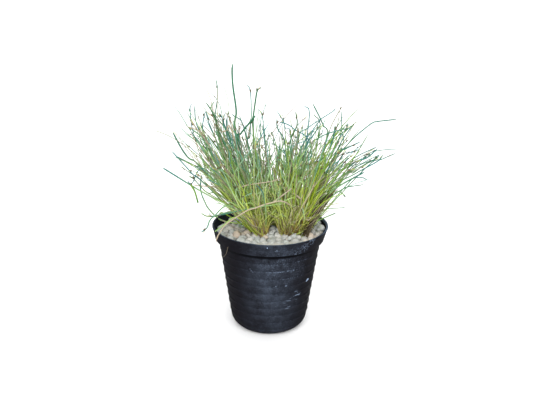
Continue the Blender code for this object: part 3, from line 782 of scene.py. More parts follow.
def plastic_finish(pot):
    """Black recycled plastic: dull, with dust and a painted sheen on its front, dust on its rings, scuffs
    and dried splashes, painted shade across the ring bands, and a painted shadow under the collar.
    """
    look = Look("black_plastic")
    x, y, z = [look.axis(index) for index in range(3)]
    blotches = look.noise(22.0)
    grains = look.noise(600.0, 4.0, 0.7)
    clouds = look.noise(110.0, 4.0, 0.6)
    speckle = look.noise(950.0, 2.0, 0.6)
    ridges = (look.noise(210.0, 3.0, 0.6) - 0.5).size().rise(0.035, 0.0)
    slanted = look.node("ShaderNodeMapping", None, {
        "Vector": look.place, "Rotation": (0.0, 0.65, 0.0), "Scale": (0.30, 0.5, 1.6)})
    streaks = look.noise(260.0, 3.0, 0.5, slanted).rise(0.52, 0.64)

    on_wall = z.rise(COLLAR_FOOT_Z, COLLAR_FOOT_Z - 0.003)
    # Painted shadow: a band of the wall just under the collar, darker and without dust.
    painted_shadow_under_collar = z.band(0.1165, 0.1195, COLLAR_FOOT_Z, COLLAR_FOOT_Z + 0.0006)
    inside = ((x * x + y * y) ** 0.5).rise(0.0728, 0.0722) * z.rise(0.1300, 0.1320)
    lip_right = z.rise(0.1370, 0.1385) * x.rise(0.040, 0.068) * y.rise(-0.042, -0.015)
    # Painted sheen: an upright band down the middle of the front, where the dusty film is strongest.
    front = (x - 0.003).size().rise(0.048, 0.004) * y.rise(-0.010, -0.045)
    upper = look.near(*UPPER_DUST)
    up_ring = ((z - RING_FIRST_Z) / RING_PITCH).fraction()

    mottle = blotches.rise(0.30, 0.70) * 0.4 + clouds.rise(0.32, 0.68) * 0.5 + grains.rise(0.34, 0.66) * 0.4
    # Painted shade across the ring bands: on the wall the film is darker just above each ring and lighter
    # just below the next.
    sheen_and_dust_film = (0.06 + front * 0.94) * mottle * (1.0 - on_wall * (0.34 - up_ring * 0.55))
    sheen_and_dust_film = sheen_and_dust_film * (0.6 + z.rise(0.02, 0.06) * 0.4) * 0.085
    sheen_and_dust_film = sheen_and_dust_film + upper * grains.rise(0.48, 0.72) * clouds.rise(0.35, 0.60) * 0.10
    ring_dust = up_ring.rise(0.09, 0.02) * on_wall * grains.rise(0.40, 0.66) * blotches.rise(0.34, 0.60)
    top_ring = z.band(0.0935, 0.0965, 0.1005, 0.1035)
    ring_dust = ring_dust * (0.05 + front * 0.15 + upper * 0.45 + top_ring * 0.10)
    dash = z.band(0.0983, 0.0989, 0.0999, 0.1006) * x.band(0.004, 0.014, 0.028, 0.036)
    dash = dash * grains.rise(0.46, 0.60) * front.rise(0.0, 0.2)
    specks = speckle.rise(0.66, 0.76) * blotches.rise(0.44, 0.66) * (0.1 + front * 0.9)

    # The inside of the collar near its top gets this colour too, lighter towards +x.
    dust_and_sheen = sheen_and_dust_film + ring_dust * 0.30 + specks * 0.22 + dash * 0.16 + inside * (x * 2.4 + 0.20)
    dust_and_sheen = dust_and_sheen + look.upward().rise(0.4, 0.9) * 0.08 + lip_right * 0.15
    dust_and_sheen = dust_and_sheen + ridges * look.near(*SPLASHES) * 0.34 + streaks * look.near(*SCUFFS) * 0.40
    dust_and_sheen = dust_and_sheen + look.near(*SCRATCH) * 0.10 + look.near(*DOTS) * 0.40 + look.near(*SCRAPE) * 0.9
    dust_and_sheen = dust_and_sheen + look.near(*DROP) * 0.9 + look.near(*TEAR) * ridges.rise(0.2, 0.7) * 0.5
    dust_and_sheen = (dust_and_sheen * (1.0 - painted_shadow_under_collar)).clamped()
    # Painted shadow under the collar: the plastic there is darker.
    plastic_with_painted_shadow = painted_shadow_under_collar.blend(pot.plastic, (0.0026, 0.0031, 0.0044))
    roughness = (0.58 + blotches * 0.16 + dust_and_sheen * 0.20).clamped()
    height = grains * 0.6 + blotches * 0.8 + dust_and_sheen * 0.3
    return look.surface(dust_and_sheen.blend(plastic_with_painted_shadow, pot.dust_and_sheen), roughness, height, 0.00025, 0.5, 0.02)


def stone_finish(gravel):
    """Washed pebbles, each with its own tone, with painted light on those in the notch, mottled and dusty.
    """
    look = Look("pale_pebbles")
    mottle = look.noise(320.0, 5.0, 0.62)
    warmth = (look.number("warmth") + (look.noise(110.0, 4.0, 0.5) - 0.5) * 0.35).clamped()
    shade = look.number("tone") * 0.75 + mottle.rise(0.30, 0.70) * 0.25
    stone = warmth.blend(gravel.pale, gravel.tan).tinted(shade.blend((0.70, 0.70, 0.68), (1.16, 1.15, 1.14)))
    colour = (look.upward().rise(0.0, -0.8) * 0.6).blend(stone, gravel.grit)
    height = mottle * 0.6 + look.noise(900.0, 3.0) * 0.4
    return look.surface(colour, 0.55 + mottle * 0.3, height, 0.0004, 0.7)


def grit_finish(gravel):
    """Fines, soil and old leaf bits between the pebbles."""
    look = Look("grit")
    coarse = look.noise(260.0, 6.0, 0.7)
    bank = look.axis(1).rise(-0.044, -0.050) * 0.45
    mixed = (coarse + bank).rise(0.30, 0.72).blend((0.045, 0.034, 0.024), gravel.grit)
    return look.surface((bank * 1.6).blend(mixed, gravel.fines), 0.85 + coarse * 0.12, coarse, 0.0012)


def soil_finish():
    """Dark potting mix with pale fibres."""
    look = Look("potting_soil")
    crumbs = look.noise(300.0, 6.0, 0.7)
    fibres = look.noise(500.0, 3.0, 0.5, look.stretched((1.0, 4.0, 1.0)))
    mixed = crumbs.rise(0.35, 0.68).blend((0.018, 0.012, 0.008), (0.075, 0.048, 0.030))
    colour = (fibres.rise(0.66, 0.74) * 0.6).blend(mixed, (0.24, 0.17, 0.10))
    return look.surface(colour, 0.88 + crumbs * 0.10, crumbs, 0.0015)


def mat_finish(grass):
    """Matted sheaths and roots at the foot of the stems."""
    look = Look("root_mat")
    fibres = look.noise(420.0, 5.0, 0.65, look.stretched((1.0, 1.0, 0.25)))
    colour = fibres.rise(0.34, 0.70).blend((0.030, 0.018, 0.009), grass.sheath)
    return look.surface(colour, 0.80 + fibres * 0.15, fibres, 0.0016)


def stem_finish(grass, name="green_stems", high=None):
    """Stems: brown sheath, yellow green, green and cool green up to the tip, each a little apart.

    The mesh gives along (0 foot to 1 tip), tint (0 yellow to 1 cool), shade (0 dark to 1 light, a random
    tone with painted shade and light), dry (0 to 1), age (0 straw to 1 brown) and head (1 on a spikelet).
    """
    look = Look(name)
    along, tint, shade, dry, age, head = [
        look.number(number) for number in ("along", "tint", "shade", "dry", "age", "head")]
    fine = look.noise(900.0, 3.0, 0.6)
    patch = look.noise(60.0, 3.0, 0.5)
    stops = [(0.0, grass.sheath), (0.14, grass.husk), (0.29, grass.low), (0.42, grass.low),
             (0.62, grass.middle), (0.95, high or grass.high)]
    spot = (along + (tint - 0.5) * 0.34 + (patch - 0.5) * 0.25).clamped()
    # Painted shade and light: the shade number takes a stem from a deeper yellow green to a whitish painted
    # highlight.
    light = (shade * 0.7 + fine * 0.3).clamped().blend((0.52, 0.59, 0.15), (1.13, 1.10, 1.36))
    green = look.node("ShaderNodeValToRGB", {"stops": stops}, {0: spot}).tinted(light)
    dried = (age + (patch - 0.5) * 0.3).clamped().blend(grass.straw, grass.dead)
    withered = along.rise(0.45, 0.85) * age.rise(0.50, 0.56) * 0.6
    stem = (dry + withered).clamped().blend(green, dried)
    scales = look.noise(1500.0, 2.0, 0.5).rise(0.40, 0.62) * 0.7 + tint * 0.3
    scales = scales.blend((0.070, 0.055, 0.035), grass.spikelet)
    return look.surface(head.blend(stem, scales), 0.48 + fine * 0.2, fine, 0.0002, 0.5, 0.15)


def floor_finish(stage):
    """Pale seamless paper."""
    look = Look("pale_floor")
    return look.surface(look.noise(90.0, 3.0).blend([c * 0.985 for c in stage.floor], stage.floor), 0.9)


def ball(levels):
    """Directions and triangles of a finely divided icosahedron."""
    golden = (1 + math.sqrt(5)) / 2
    points = [Vector(np.roll((short, long * golden, 0), axis)).normalized()
              for axis in range(3) for long in (1, -1) for short in (-1, 1)]
    faces = [(0, 11, 5), (0, 5, 1), (0, 1, 7), (0, 7, 10), (0, 10, 11), (1, 5, 9), (5, 11, 4),
             (11, 10, 2), (10, 7, 6), (7, 1, 8), (3, 9, 4), (3, 4, 2), (3, 2, 6), (3, 6, 8),
             (3, 8, 9), (4, 9, 5), (2, 4, 11), (6, 2, 10), (8, 6, 7), (9, 8, 1)]
    for _ in range(levels):
        middles = {}
        finer = []
        for face in faces:
            mids = []
            for a, b in zip(face, face[1:] + face[:1]):
                key = (min(a, b), max(a, b))
                if key not in middles:
                    middles[key] = len(points)
                    points.append((points[a] + points[b]).normalized())
                mids.append(middles[key])
            a, b, c = face
            finer += [(a, mids[0], mids[2]), (b, mids[1], mids[0]), (c, mids[2], mids[1]), tuple(mids)]
        faces = finer
    return np.array([tuple(p) for p in points]), np.array(faces)


def worn_stones(rng, directions, count):
    """Shapes of a few water-worn stones: soft lumps with a few flats rubbed on them."""
    stones = []
    for _ in range(count):
        offset = Vector(rng.uniform(-50, 50, 3))
        bumps = [noise.noise(Vector(d) * 1.3 + offset) * 0.22 + noise.noise(Vector(d) * 3.4 + offset) * 0.06
                 for d in directions]
        stone = directions * (1 + np.array(bumps))[:, None]
        for flat in unit(rng.normal(size=(3, 3))):
            over = np.maximum(stone @ flat - rng.uniform(0.70, 0.92), 0)
            stone = stone - 0.7 * over[:, None] * flat
        stones.append(stone * (1.0, rng.uniform(0.78, 0.96), rng.uniform(0.66, 0.86)))
    return stones


def turned_about(rng, tilt):
    """A rotation by any angle about +Z after a small tilt."""
    lean = [Matrix.Rotation(rng.uniform(-tilt, tilt), 3, axis) for axis in "XY"]
    return np.array(Matrix.Rotation(rng.uniform(0, TAU), 3, "Z") @ (lean[0] @ lean[1]))


def pebble_places(rng, tries, radius, taken, varied, closeness, sunk):
    """Throw pebbles on the bed, keeping those with room; taken holds (x, y, radius)."""
    places = []
    for _ in range(tries):
        size = radius * math.exp(rng.normal(0, varied))
        angle = rng.uniform(0, TAU)
        reach = RIM_RADIUS * math.sqrt(rng.uniform(0, 1))
        x, y = reach * math.cos(angle), reach * math.sin(angle)
        level = gravel_height(x, y) - sunk
        if reach + 0.92 * size > collar_radius(level, COLLAR_WALL) or beside_crown(x, y) < -0.3 * size:
            continue
        if not any((x - other[0]) ** 2 + (y - other[1]) ** 2 < (closeness * (size + other[2])) ** 2
                   for other in taken):
            taken.append((x, y, size))
            places.append((x, y, level, size))
    return places


def rooted(x, y):
    """Starts of stems at some places, a little below the gravel's level."""
    return np.stack([x, y, gravel_height(x, y) - ROOTED], axis=1)


def spread(values, profile):
    """A vector of each stem (stem, axes) times a profile up its rings (stem, ring)."""
    return values[:, None] * profile[:, :, None]


def grown_stems(rng, growth, count, rings):
    """Starts, directions, lengths and painted shade (gloom) of a group of stems, which bend from foot to tip
    slope.
    """
    in_millimetres = growth.centre, growth.radii, growth.lengths
    centre, radii, lengths = [np.array(sizes) / 1000 for sizes in in_millimetres]
    angle = rng.uniform(0, TAU, count)
    reach = np.sqrt(rng.uniform(0, 1, count))
    feet = centre + np.stack([np.cos(angle), np.sin(angle)], axis=1) * reach[:, None] * radii
    for _ in range(8):
        astray = beside_crown(*feet.T) > -0.001
        feet = np.where(astray[:, None], centre + (feet - centre) * 0.88, feet)
    offset = (feet - centre) / radii
    wild = growth.scatter
    foot_slope = growth.foot_slope + offset * growth.foot_spread + rng.normal(0, 0.15 * wild, (count, 2))
    tip_slope = growth.tip_slope + offset * growth.tip_spread + rng.normal(0, 0.18 * wild, (count, 2))
    length = lengths[0] + np.ptp(lengths) * rng.beta(*growth.evenness, count)
    length = length * (1 + growth.taller * offset[:, 0])
    nod = rng.exponential(0.24, (count, 1))
    nod_way = unit(tip_slope + rng.normal(0, 0.5, (count, 2)))
    bow = rng.normal(0, 0.15 * wild, (count, 2))
    wave = rng.normal(0, 0.08 * wild, (count, 2))
    phase = rng.uniform(0, TAU, (count, 1))
    bend_at = rng.uniform(0.15, 0.92, (count, 1))
    bend = rng.normal(0, 0.45, (count, 2)) * (rng.uniform(0, 1, (count, 1)) < 0.50)
    s = np.linspace(0, 1, rings)[None]
    fade = (1 - s) ** 1.5
    level = (spread(foot_slope, fade) + spread(tip_slope, 1 - fade) + spread(bow, np.sin(math.pi * s * 0.9))
             + spread(wave, np.sin(9 * s + phase) + np.sin(17 * s + 2 * phase))
             + spread(bend, np.clip((s - bend_at) / 0.08, 0, 1)) + spread(nod_way, nod * s ** 4 * 2))
    upright = 1.0 - 0.40 * nod * s ** 3
    direction = unit(np.concatenate([level, upright[:, :, None]], axis=2))
    # Painted shade: stems are darker the nearer their foot is to the left or right edge, and lighter where
    # that edge's gloom is negative.
    left, right = growth.gloom
    return rooted(*feet.T), direction, length, np.where(offset[:, 0] < 0, -left, right) * offset[:, 0]


def clear_of_bed(paths):
    """Which stems keep out of the notch and don't lie low over the pebbles."""
    x, y, z = np.moveaxis(paths, 2, 0)
    above = z - gravel_height(x, y)
    beside = beside_crown(x, y)
    in_notch = (above < 0.008) & (beside > 0.0005) & (np.abs(x - NOTCH_CENTRE[0]) < NOTCH_RADII[0])
    return ~np.any(in_notch | (beside > 0.004 + 1.15 * np.maximum(above, 0)), axis=1)


def run_paths(start, direction, length):
    """Integrate directions to paths, and shorten the stems that leave the frame's box."""
    low = np.array(CAD_BOX[0]) - MARGIN
    high = np.array(CAD_BOX[1]) + MARGIN
    steps = np.cumsum((direction[:, 1:] + direction[:, :-1]) / 2, axis=1)
    run = np.concatenate([np.zeros_like(start)[:, None], steps], axis=1) / (direction.shape[1] - 1)
    for _ in range(12):
        paths = start[:, None] + run * length[:, None, None]
        out = np.any((paths < low) | (paths > high), axis=(1, 2))
        length = np.where(out, length * 0.92, length)
    return start[:, None] + run * length[:, None, None], length


def add_stems(heap, rng, paths, radius, dry, age, sides, coolest=0.0, warmest=1.0, lowest=0.0, gloom=0.0):
    """Add slim stems that end in a short point, with the numbers that their finish reads."""
    stems, rings, _ = paths.shape
    s = np.linspace(0, 1, rings)[None]
    radii = radius[:, None] * (1 - TAPER * s) * np.clip((1.0 - s) / POINT_SHARE, 0.5, 1.0)
    points, faces = tubes(paths, radii, sides)
    length = np.sum(np.linalg.norm(np.diff(paths, axis=1), axis=2), axis=1)
    greenest = 0.35 + 0.65 * np.clip(length / FULL_LENGTH, 0, 1)
    along = lowest + (1 - lowest) * s * greenest[:, None]
    each = {
        "tint": rng.uniform(coolest, warmest, stems),
        # Each stem's shade is a random tone less gloom, which carries the clumps' painted shade and light.
        "shade": rng.beta(1.5, 1.0, stems) - gloom,
        "dry": dry,
        "age": age,
    }
    numbers = {name: np.repeat(value, rings * sides) for name, value in each.items()}
    heap.add(points, faces, along=np.repeat(along, sides), head=0.0, **numbers)


def add_spikelets(heap, rng, paths, chosen, size, sides=7, rings=8):
    """Add the small ovoid heads just below the tips of the chosen stems, with a bract beside some."""
    paths = paths[chosen]
    count = len(paths)
    if not count:
        return
    place = (1.0 - rng.uniform(0.035, 0.075, count)) * (paths.shape[1] - 1)
    low = np.minimum(place.astype(int), paths.shape[1] - 2)
    share = (place - low)[:, None]
    below, above = paths[np.arange(count), low], paths[np.arange(count), low + 1]
    foot = (below * (1 - share) + above * share)[:, None]
    along = unit(above - below)
    aside = unit(np.cross(along, rng.normal(size=(count, 3))))
    length = size * rng.uniform(0.8, 1.35, (count, 1))
    t = np.linspace(0, 1, rings)[None]
    belly = np.sin(math.pi * np.clip(t, 0.03, 0.97) ** 0.8) ** 0.8
    spine = foot + spread(unit(along + 0.55 * aside), t * length)
    points, faces = tubes(spine, 0.24 * length * belly, sides)
    tint = np.repeat(rng.uniform(0, 1, count), rings * sides)
    heap.add(points, faces, along=0.9, tint=tint, shade=tint, dry=0.0, age=0.5, head=1.0)
    with_bract = rng.uniform(0, 1, count) < 0.45
    reach = rng.uniform(0.005, 0.011, (count, 1))
    bracts = foot + spread(unit(along - 0.5 * aside), t * reach) + spread(aside, t ** 2 * 0.25 * reach)
    bracts = bracts[with_bract]
    if len(bracts):
        dull = np.full(len(bracts), 0.3)
        add_stems(heap, rng, bracts, np.full(len(bracts), BRACT_RADIUS), dull, dull, 5)


class Step:
    """What all the operators share"""

    bl_options = {"REGISTER", "UNDO"}


class POTGRASS_OT_pot(Step, Operator):
    """Make the nursery pot, with its collar, lip, rings and drain holes"""

    bl_idname = "potted_grass.pot"
    bl_label = "Pot"

    def execute(self, context):
        settings = context.scene.potted_grass.pot
        points, faces = turned(pot_outline(settings), settings.facets)
        heap = Heap()
        heap.add(shape_wall(points, settings), faces)
        self.drill(context, heap.build("pot_shell", plastic_finish(settings), "black_plastic", "pot"))
        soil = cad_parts["soil"].data.materials
        soil.clear()
        soil.append(soil_finish())
        return {"FINISHED"}

    def drill(self, context, pot):
        """Cut the drain holes through the floor."""
        angles = TAU * (np.arange(DRAIN_COUNT) + 0.5) / DRAIN_COUNT
        centres = np.stack([np.cos(angles), np.sin(angles), 0 * angles], axis=1) * DRAIN_CIRCLE
        ends = np.stack([centres - (0, 0, DRAIN_DRILL), centres + (0, 0, DRAIN_DRILL)], axis=1)
        points, faces = tubes(ends, np.full((DRAIN_COUNT, 2), DRAIN_RADIUS), 24)
        mesh = bpy.data.meshes.new("drain_holes")
        mesh.from_pydata(points.tolist(), [], [face for group in faces for face in group.tolist()])
        cutter = bpy.data.objects.new("drain_holes", mesh)
        context.scene.collection.objects.link(cutter)
        cut = pot.modifiers.new("Drain holes", "BOOLEAN")
        cut.object = cutter
        cut.operation = "DIFFERENCE"
        cut.solver = "EXACT"
        context.view_layer.objects.active = pot
        bpy.ops.object.modifier_apply(modifier=cut.name)
        bpy.data.objects.remove(cutter, do_unlink=True)


class POTGRASS_OT_gravel(Step, Operator):
    """Make the bed of grit and the loose pebbles that cover it"""

    bl_idname = "potted_grass.gravel"
    bl_label = "Gravel"

    def execute(self, context):
        settings = context.scene.potted_grass.gravel
        self.lay_grit(settings)
        self.lay_pebbles(settings)
        return {"FINISHED"}

    def lay_grit(self, settings, facets=120, steps=22):
        """A ring of grit between the crown and the pot, lumpy on top and flat below."""
        turn, out = circle(facets)
        inner = np.array(CROWN_CENTRE) + out * (crown_reach(turn) + 0.0004)[:, None]
        outer = out * collar_radius(GRAVEL_LEVEL - 0.003, COLLAR_WALL + POT_GAP)
        levels = []
        for t in np.linspace(0, 1, steps):
            place = inner * (1 - t) + outer * t
            level = gravel_height(*place.T) - GRIT_SUNK
            top = level + lumps(place, 0.0009, 240, 0.0) + front_bank(*place.T)
            levels.append(np.column_stack([place, top]))
        shelf = SHOULDER_Z + WALL + 0.0004
        for ring, height in (
            (out * collar_radius(shelf, COLLAR_WALL + POT_GAP), shelf),
            (out * wall_radius(shelf, WALL + POT_GAP), shelf),
            (out * wall_radius(GRAVEL_FOOT, WALL + POT_GAP), GRAVEL_FOOT),
            (inner, GRAVEL_FOOT),
        ):
            levels.append(np.column_stack([ring, np.full(facets, height)]))
        index = np.arange(len(levels) * facets).reshape(-1, facets)
        walls = ring_walls(np.vstack([index, index[:1]]))
        heap = Heap()
        heap.add(np.concatenate(levels), [walls[:, [0, 3, 2, 1]]])
        heap.build("grit_bed", grit_finish(settings), "pale_pebbles")

    def lay_pebbles(self, settings):
        """Two layers of pebbles and some chips, sunk a little in the grit."""
        rng = np.random.default_rng(PEBBLE_SEED)
        directions, triangles = ball(2)
        stones = worn_stones(rng, directions, 36)
        radius, tries = settings.pebble_radius, settings.tries
        on_top = []
        places = pebble_places(rng, tries, radius, [], varied=0.12, closeness=0.66, sunk=0.0030)
        places += pebble_places(rng, tries, radius, on_top, varied=0.20, closeness=0.78, sunk=0.0)
        places += pebble_places(rng, tries // 8, 0.5 * radius, on_top, varied=0.18, closeness=0.85,
                                sunk=-0.0004)
        heap = Heap()
        for x, y, level, size in places:
            stone = stones[rng.integers(len(stones))] @ turned_about(rng, 0.5).T
            in_notch = bump(x, y, NOTCH_PEBBLES)
            lift = rng.uniform(-0.20, 0.20) * size - front_bank(x, y) + NOTCH_LIFT * in_notch
            place = np.array((x, y, level - 0.25 * size + lift))
            warm = sum(bump(x, y, spot) for spot in WARM_PEBBLES)
            # Painted light: the pebbles in the notch, under the stems, are lighter.
            tone = rng.uniform(0, 1) + in_notch
            heap.add(place + stone * size, [triangles], tone=tone, warmth=rng.beta(0.6, 4.5) + 0.8 * warm)
        heap.build("pebbles", stone_finish(settings), "pale_pebbles", "gravel")


class POTGRASS_OT_crown(Step, Operator):
    """Make the mat of roots and the stubs of old sheaths that the stems grow from"""

    bl_idname = "potted_grass.crown"
    bl_label = "Root crown"

    def execute(self, context):
        settings = context.scene.potted_grass.grass
        self.mound(settings)
        self.stubs(settings)
        return {"FINISHED"}

    def mound(self, settings, facets=96, steps=16):
        """A low mound with the crown's outline."""
        turn, out = circle(facets)
        edge = out * crown_reach(turn)[:, None]
        levels = [np.column_stack([np.array(CROWN_CENTRE) + edge, np.full(facets, CROWN_FOOT)])]
        for t in np.linspace(1.0, 0.04, steps):
            place = np.array(CROWN_CENTRE) + edge * t
            level = gravel_height(*place.T) - ROOTED + MOUND_HEIGHT * (1 - t ** 3)
            top = level + lumps(place, 0.0016, 170, 0.3)
            levels.append(np.column_stack([place, top]))
        heap = Heap()
        heap.add(*stacked(levels))
        heap.build("crown_mat", mat_finish(settings), "root_mat", "root_crown")

    def stubs(self, settings, count=520, rings=7):
        """Short old sheaths all over the mound."""
        rng = np.random.default_rng(SHEATH_SEED)
        angle = rng.uniform(0, TAU, count)
        reach = crown_reach(angle) * np.sqrt(rng.uniform(0.1, 1.04, count))
        x = CROWN_CENTRE.x + reach * np.cos(angle)
        y = CROWN_CENTRE.y + reach * np.sin(angle)
        slope = np.stack([(x - CROWN_CENTRE.x) * 22, y * 16], axis=1) + rng.normal(0, 0.45, (count, 2))
        bend = rng.normal(0, 0.5, (count, 2))
        level = slope[:, None] + spread(bend, np.linspace(0, 1, rings)[None])
        direction = unit(np.concatenate([level, np.ones((count, rings, 1))], axis=2))
        paths, _ = run_paths(rooted(x, y), direction, rng.uniform(0.008, 0.026, count))
        paths = paths[clear_of_bed(paths)]
        count = len(paths)
        heap = Heap()
        add_stems(heap, rng, paths, rng.uniform(0.0004, 0.0008, count), rng.uniform(0.0, 0.9, count) ** 2,
                  rng.beta(2.5, 1.0, count), 5)
        heap.build("old_sheaths", stem_finish(settings, "old_sheaths"), "root_mat")


class POTGRASS_OT_clumps(Step, Operator):
    """Make the masses of fine stems with their spikelets, and the short growth below them"""

    bl_idname = "potted_grass.clumps"
    bl_label = "Clumps"

    def execute(self, context):
        settings = context.scene.potted_grass.grass
        material = stem_finish(settings)
        stands_for = self.tufts_by_clump()
        for name, (seed, growths) in GROWTHS.items():
            rng = np.random.default_rng(seed)
            heap = Heap()
            for growth in growths:
                self.grow(heap, rng, growth, settings, *((12, 4) if "under" in name else (19, 5)))
            heap.build(name, material, "green_stems", *stands_for.get(name, []))
        return {"FINISHED"}

    def tufts_by_clump(self):
        """The frame's tufts, shared out between the two clumps by the side that they stand on."""
        groups = {"left_clump": [], "right_clump": []}
        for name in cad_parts:
            if name.startswith("tuft_"):
                low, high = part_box(name)
                side = "left_clump" if low.x + high.x < 2 * CROWN_CENTRE.x else "right_clump"
                groups[side].append(name)
        return groups

    def grow(self, heap, rng, growth, settings, rings, sides):
        """Add a group of stems to a heap, with a spikelet or two on some of them."""
        count = max(1, round(growth.count * settings.fullness))
        start, direction, length, gloom = grown_stems(rng, growth, count, rings)
        paths, length = run_paths(start, direction, length)
        kept = clear_of_bed(paths)
        paths, length, gloom, count = paths[kept], length[kept], gloom[kept], np.count_nonzero(kept)
        dry = (rng.uniform(0, 1, count) < growth.dry) * rng.uniform(0.4, 1.0, count)
        radius = settings.stem_radius * growth.width * rng.uniform(0.75, 1.2, count)
        # Gloom less the group's lowest: painted shade at the edges, and painted light from lowest.
        add_stems(heap, rng, paths, radius, dry, rng.uniform(0, 0.6, count), sides,
                  growth.coolest, growth.warmest, growth.lowest, gloom - growth.lowest)
        headed = (rng.uniform(0, 1, count) < growth.headed) & (length > SHORTEST_HEADED)
        add_spikelets(heap, rng, paths, headed, SPIKELET)
        add_spikelets(heap, rng, paths, headed & (rng.uniform(0, 1, count) < 0.4), SECOND_SPIKELET)


class POTGRASS_OT_single_stems(Step, Operator):
    """Make the single stems that stand out of the mass"""

    bl_idname = "potted_grass.single_stems"
    bl_label = "Single stems"

    def execute(self, context):
        settings = context.scene.potted_grass.grass
        material = stem_finish(settings, "single_stems", settings.lone)
        rng = np.random.default_rng(SINGLE_STEM_SEED)
        for name, stem in FRAME_STEMS.items():
            kind = FRAME_KINDS.get(name, "headed")
            self.make(rng, [stem], kind, FRAME_STEM_SCALE, f"{name}_culm", material, name)
        for kind, stems in LOOSE_STEMS.items():
            self.make(rng, stems, kind, LOOSE_STEM_SCALE, f"{kind}_stems", material)
        self.dead_stems(rng, material)
        return {"FINISHED"}

    def make(self, rng, stems, kind, scale, name, material, *nodes):
        """Make the stems of one kind as one mesh; scale is the radius for 1 in the table."""
        count = len(stems)
        paths = np.stack([smooth_path(points, 40) for _, *points in stems])
        radii = np.array([scale * stem[0] for stem in stems])
        dry = kind in ("straw", "brown")
        age = rng.uniform(0.0, 0.3, count) + 0.6 * (kind == "brown")
        coolest, warmest = (0.45, 0.65) if kind == "fresh" else (0.55, 1.0)
        heap = Heap()
        add_stems(heap, rng, paths, radii, np.full(count, float(dry)), age, 8, coolest, warmest,
                  LOWEST_COLOURS.get(kind, 0.0), 0.25)
        add_spikelets(heap, rng, paths, np.full(count, kind == "headed"), LONE_SPIKELET)
        heap.build(name, material, "dry_straw" if dry else "green_stems", *nodes)

    def dead_stems(self, rng, material, count=110, rings=14, points=60):
        """Old brown stems in a thin bundle along the right edge of the mass."""
        edge = smooth_path(DEAD_EDGE, points)
        s = np.linspace(0, 1, rings)[None]
        first = rng.uniform(0.0, 0.35, count)
        last = first + rng.uniform(0.30, 0.65, count)
        place = first[:, None] + (last - first)[:, None] * s
        run = np.stack([np.interp(place, np.linspace(0, 1, points), column) for column in edge.T], axis=2)
        foot = rng.normal((0.0, -0.001, 0.0), (0.0015, 0.0040, 0.0008), (count, 3))
        fan = rng.normal((-0.0015, 0.0, 0.0), (0.0015, 0.0040, 0.0012), (count, 3))
        heap = Heap()
        add_stems(heap, rng, run + foot[:, None] + spread(fan, s), rng.uniform(0.0004, 0.0007, count),
                  rng.uniform(0.85, 1.0, count), np.where(rng.uniform(0, 1, count) < 0.88, 0.95, 0.4), 5)
        heap.build("dead_stems", material, "dry_straw")


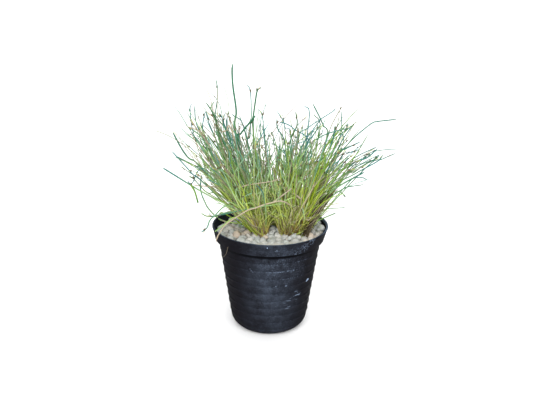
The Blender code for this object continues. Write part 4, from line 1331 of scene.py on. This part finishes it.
class POTGRASS_OT_stage(Step, Operator):
    """Make the pale floor, the lights and the camera"""

    bl_idname = "potted_grass.stage"
    bl_label = "Stage"

    def execute(self, context):
        settings = context.scene.potted_grass.stage
        self.floor(settings)
        self.lights(context)
        self.camera(context, settings)
        return {"FINISHED"}

    def floor(self, settings):
        """A wide floor that sweeps up high behind the pot, lower at its sides and lowest in front."""
        half, back, bend, top = 4.0, 3.0, 0.8, 5.0
        rise = [(0.2 * i, 0.036 * i * i) for i in range(10)]
        across = [(-half - out, z) for out, z in reversed(rise)] + [(half + out, z) for out, z in rise]
        section = [(-half - out, z) for out, z in reversed(rise[:7])] + [(back, 0.0)]
        for i in range(1, 13):
            angle = math.radians(7.5 * i)
            section.append((back + bend * math.sin(angle), bend * (1 - math.cos(angle))))
        section.append((back + bend, top))
        points = [(x, y, max(side, z)) for y, z in section for x, side in across]
        width = len(across)
        faces = [(row + i, row + i + 1, row + width + i + 1, row + width + i)
                 for row in range(0, width * (len(section) - 1), width) for i in range(width - 1)]
        mesh = bpy.data.meshes.new("floor")
        mesh.from_pydata(points, [], faces)
        mesh.shade_smooth()
        mesh.materials.append(floor_finish(settings))
        floor = bpy.data.objects.new("floor", mesh)
        bpy.context.scene.collection.objects.link(floor)

    def lights(self, context):
        """Two wide soft lights from the front, one above, and a dim sky."""
        world = bpy.data.worlds.new("soft_grey")
        world.use_nodes = True
        context.scene.world = world
        sky = world.node_tree.nodes["Background"]
        sky.inputs["Color"].default_value = SKY_COLOUR
        sky.inputs["Strength"].default_value = SKY_STRENGTH
        for name, direction, angle, strength in LIGHTS:
            light = bpy.data.lights.new(name, "SUN")
            light.angle = math.radians(angle)
            light.energy = strength
            lamp = bpy.data.objects.new(name, light)
            lamp.location = Vector(direction) * 2
            lamp.rotation_euler = Vector(direction).to_track_quat("Z", "Y").to_euler()
            context.scene.collection.objects.link(lamp)
        context.scene.view_settings.view_transform = "Standard"

    def camera(self, context, settings):
        """Stand the camera so that the middle of the pot lands on its pixel of the photo."""
        lens = bpy.data.cameras.new("camera")
        lens.sensor_width = 36.0
        lens.lens = lens.sensor_width * FOCAL_PIXELS / PHOTO_SIZE[0]
        camera = bpy.data.objects.new("camera", lens)
        context.scene.collection.objects.link(camera)
        back = Vector((0.0, -math.cos(settings.elevation), math.sin(settings.elevation)))
        right = Vector((1.0, 0.0, 0.0))
        straight = Matrix((right, back.cross(right), back)).transposed()
        aside = TARGET_PIXEL[0] - PHOTO_SIZE[0] / 2
        yaw = math.atan2(aside, FOCAL_PIXELS)
        pitch = math.atan2(PHOTO_SIZE[1] / 2 - TARGET_PIXEL[1], math.hypot(FOCAL_PIXELS, aside))
        aim = (Matrix.Rotation(settings.roll, 3, "Z") @ Matrix.Rotation(-yaw, 3, "Y")
               @ Matrix.Rotation(pitch, 3, "X"))
        place = Vector((0.0, 0.0, settings.target_height)) + settings.distance * back
        camera.matrix_world = Matrix.Translation(place) @ (straight @ aim.transposed()).to_4x4()
        context.scene.camera = camera


class POTGRASS_PT_panel(Panel):
    """The sidebar panel that lists the steps and their settings"""

    bl_idname = "POTGRASS_PT_panel"
    bl_label = "Potted Grass"
    bl_space_type = "VIEW_3D"
    bl_region_type = "UI"
    bl_category = "Potted Grass"

    def draw(self, context):
        settings = context.scene.potted_grass
        for step in STEPS:
            self.layout.operator(step.bl_idname)
        for group in (settings.pot, settings.gravel, settings.grass, settings.stage):
            box = self.layout.box()
            for name in group.__annotations__:
                box.prop(group, name)


STEPS = (POTGRASS_OT_stage, POTGRASS_OT_pot, POTGRASS_OT_gravel, POTGRASS_OT_crown, POTGRASS_OT_clumps,
         POTGRASS_OT_single_stems)
CLASSES = (PotSettings, GravelSettings, GrassSettings, StageSettings, PottedGrassSettings, *STEPS,
           POTGRASS_PT_panel)


def register():
    for cls in CLASSES:
        bpy.utils.register_class(cls)
    bpy.types.Scene.potted_grass = PointerProperty(type=PottedGrassSettings)


def unregister():
    del bpy.types.Scene.potted_grass
    for cls in reversed(CLASSES):
        bpy.utils.unregister_class(cls)


def main():
    register()
    for step in STEPS:
        group, name = step.bl_idname.split(".")
        getattr(getattr(bpy.ops, group), name)()


if __name__ == "__main__":
    main()
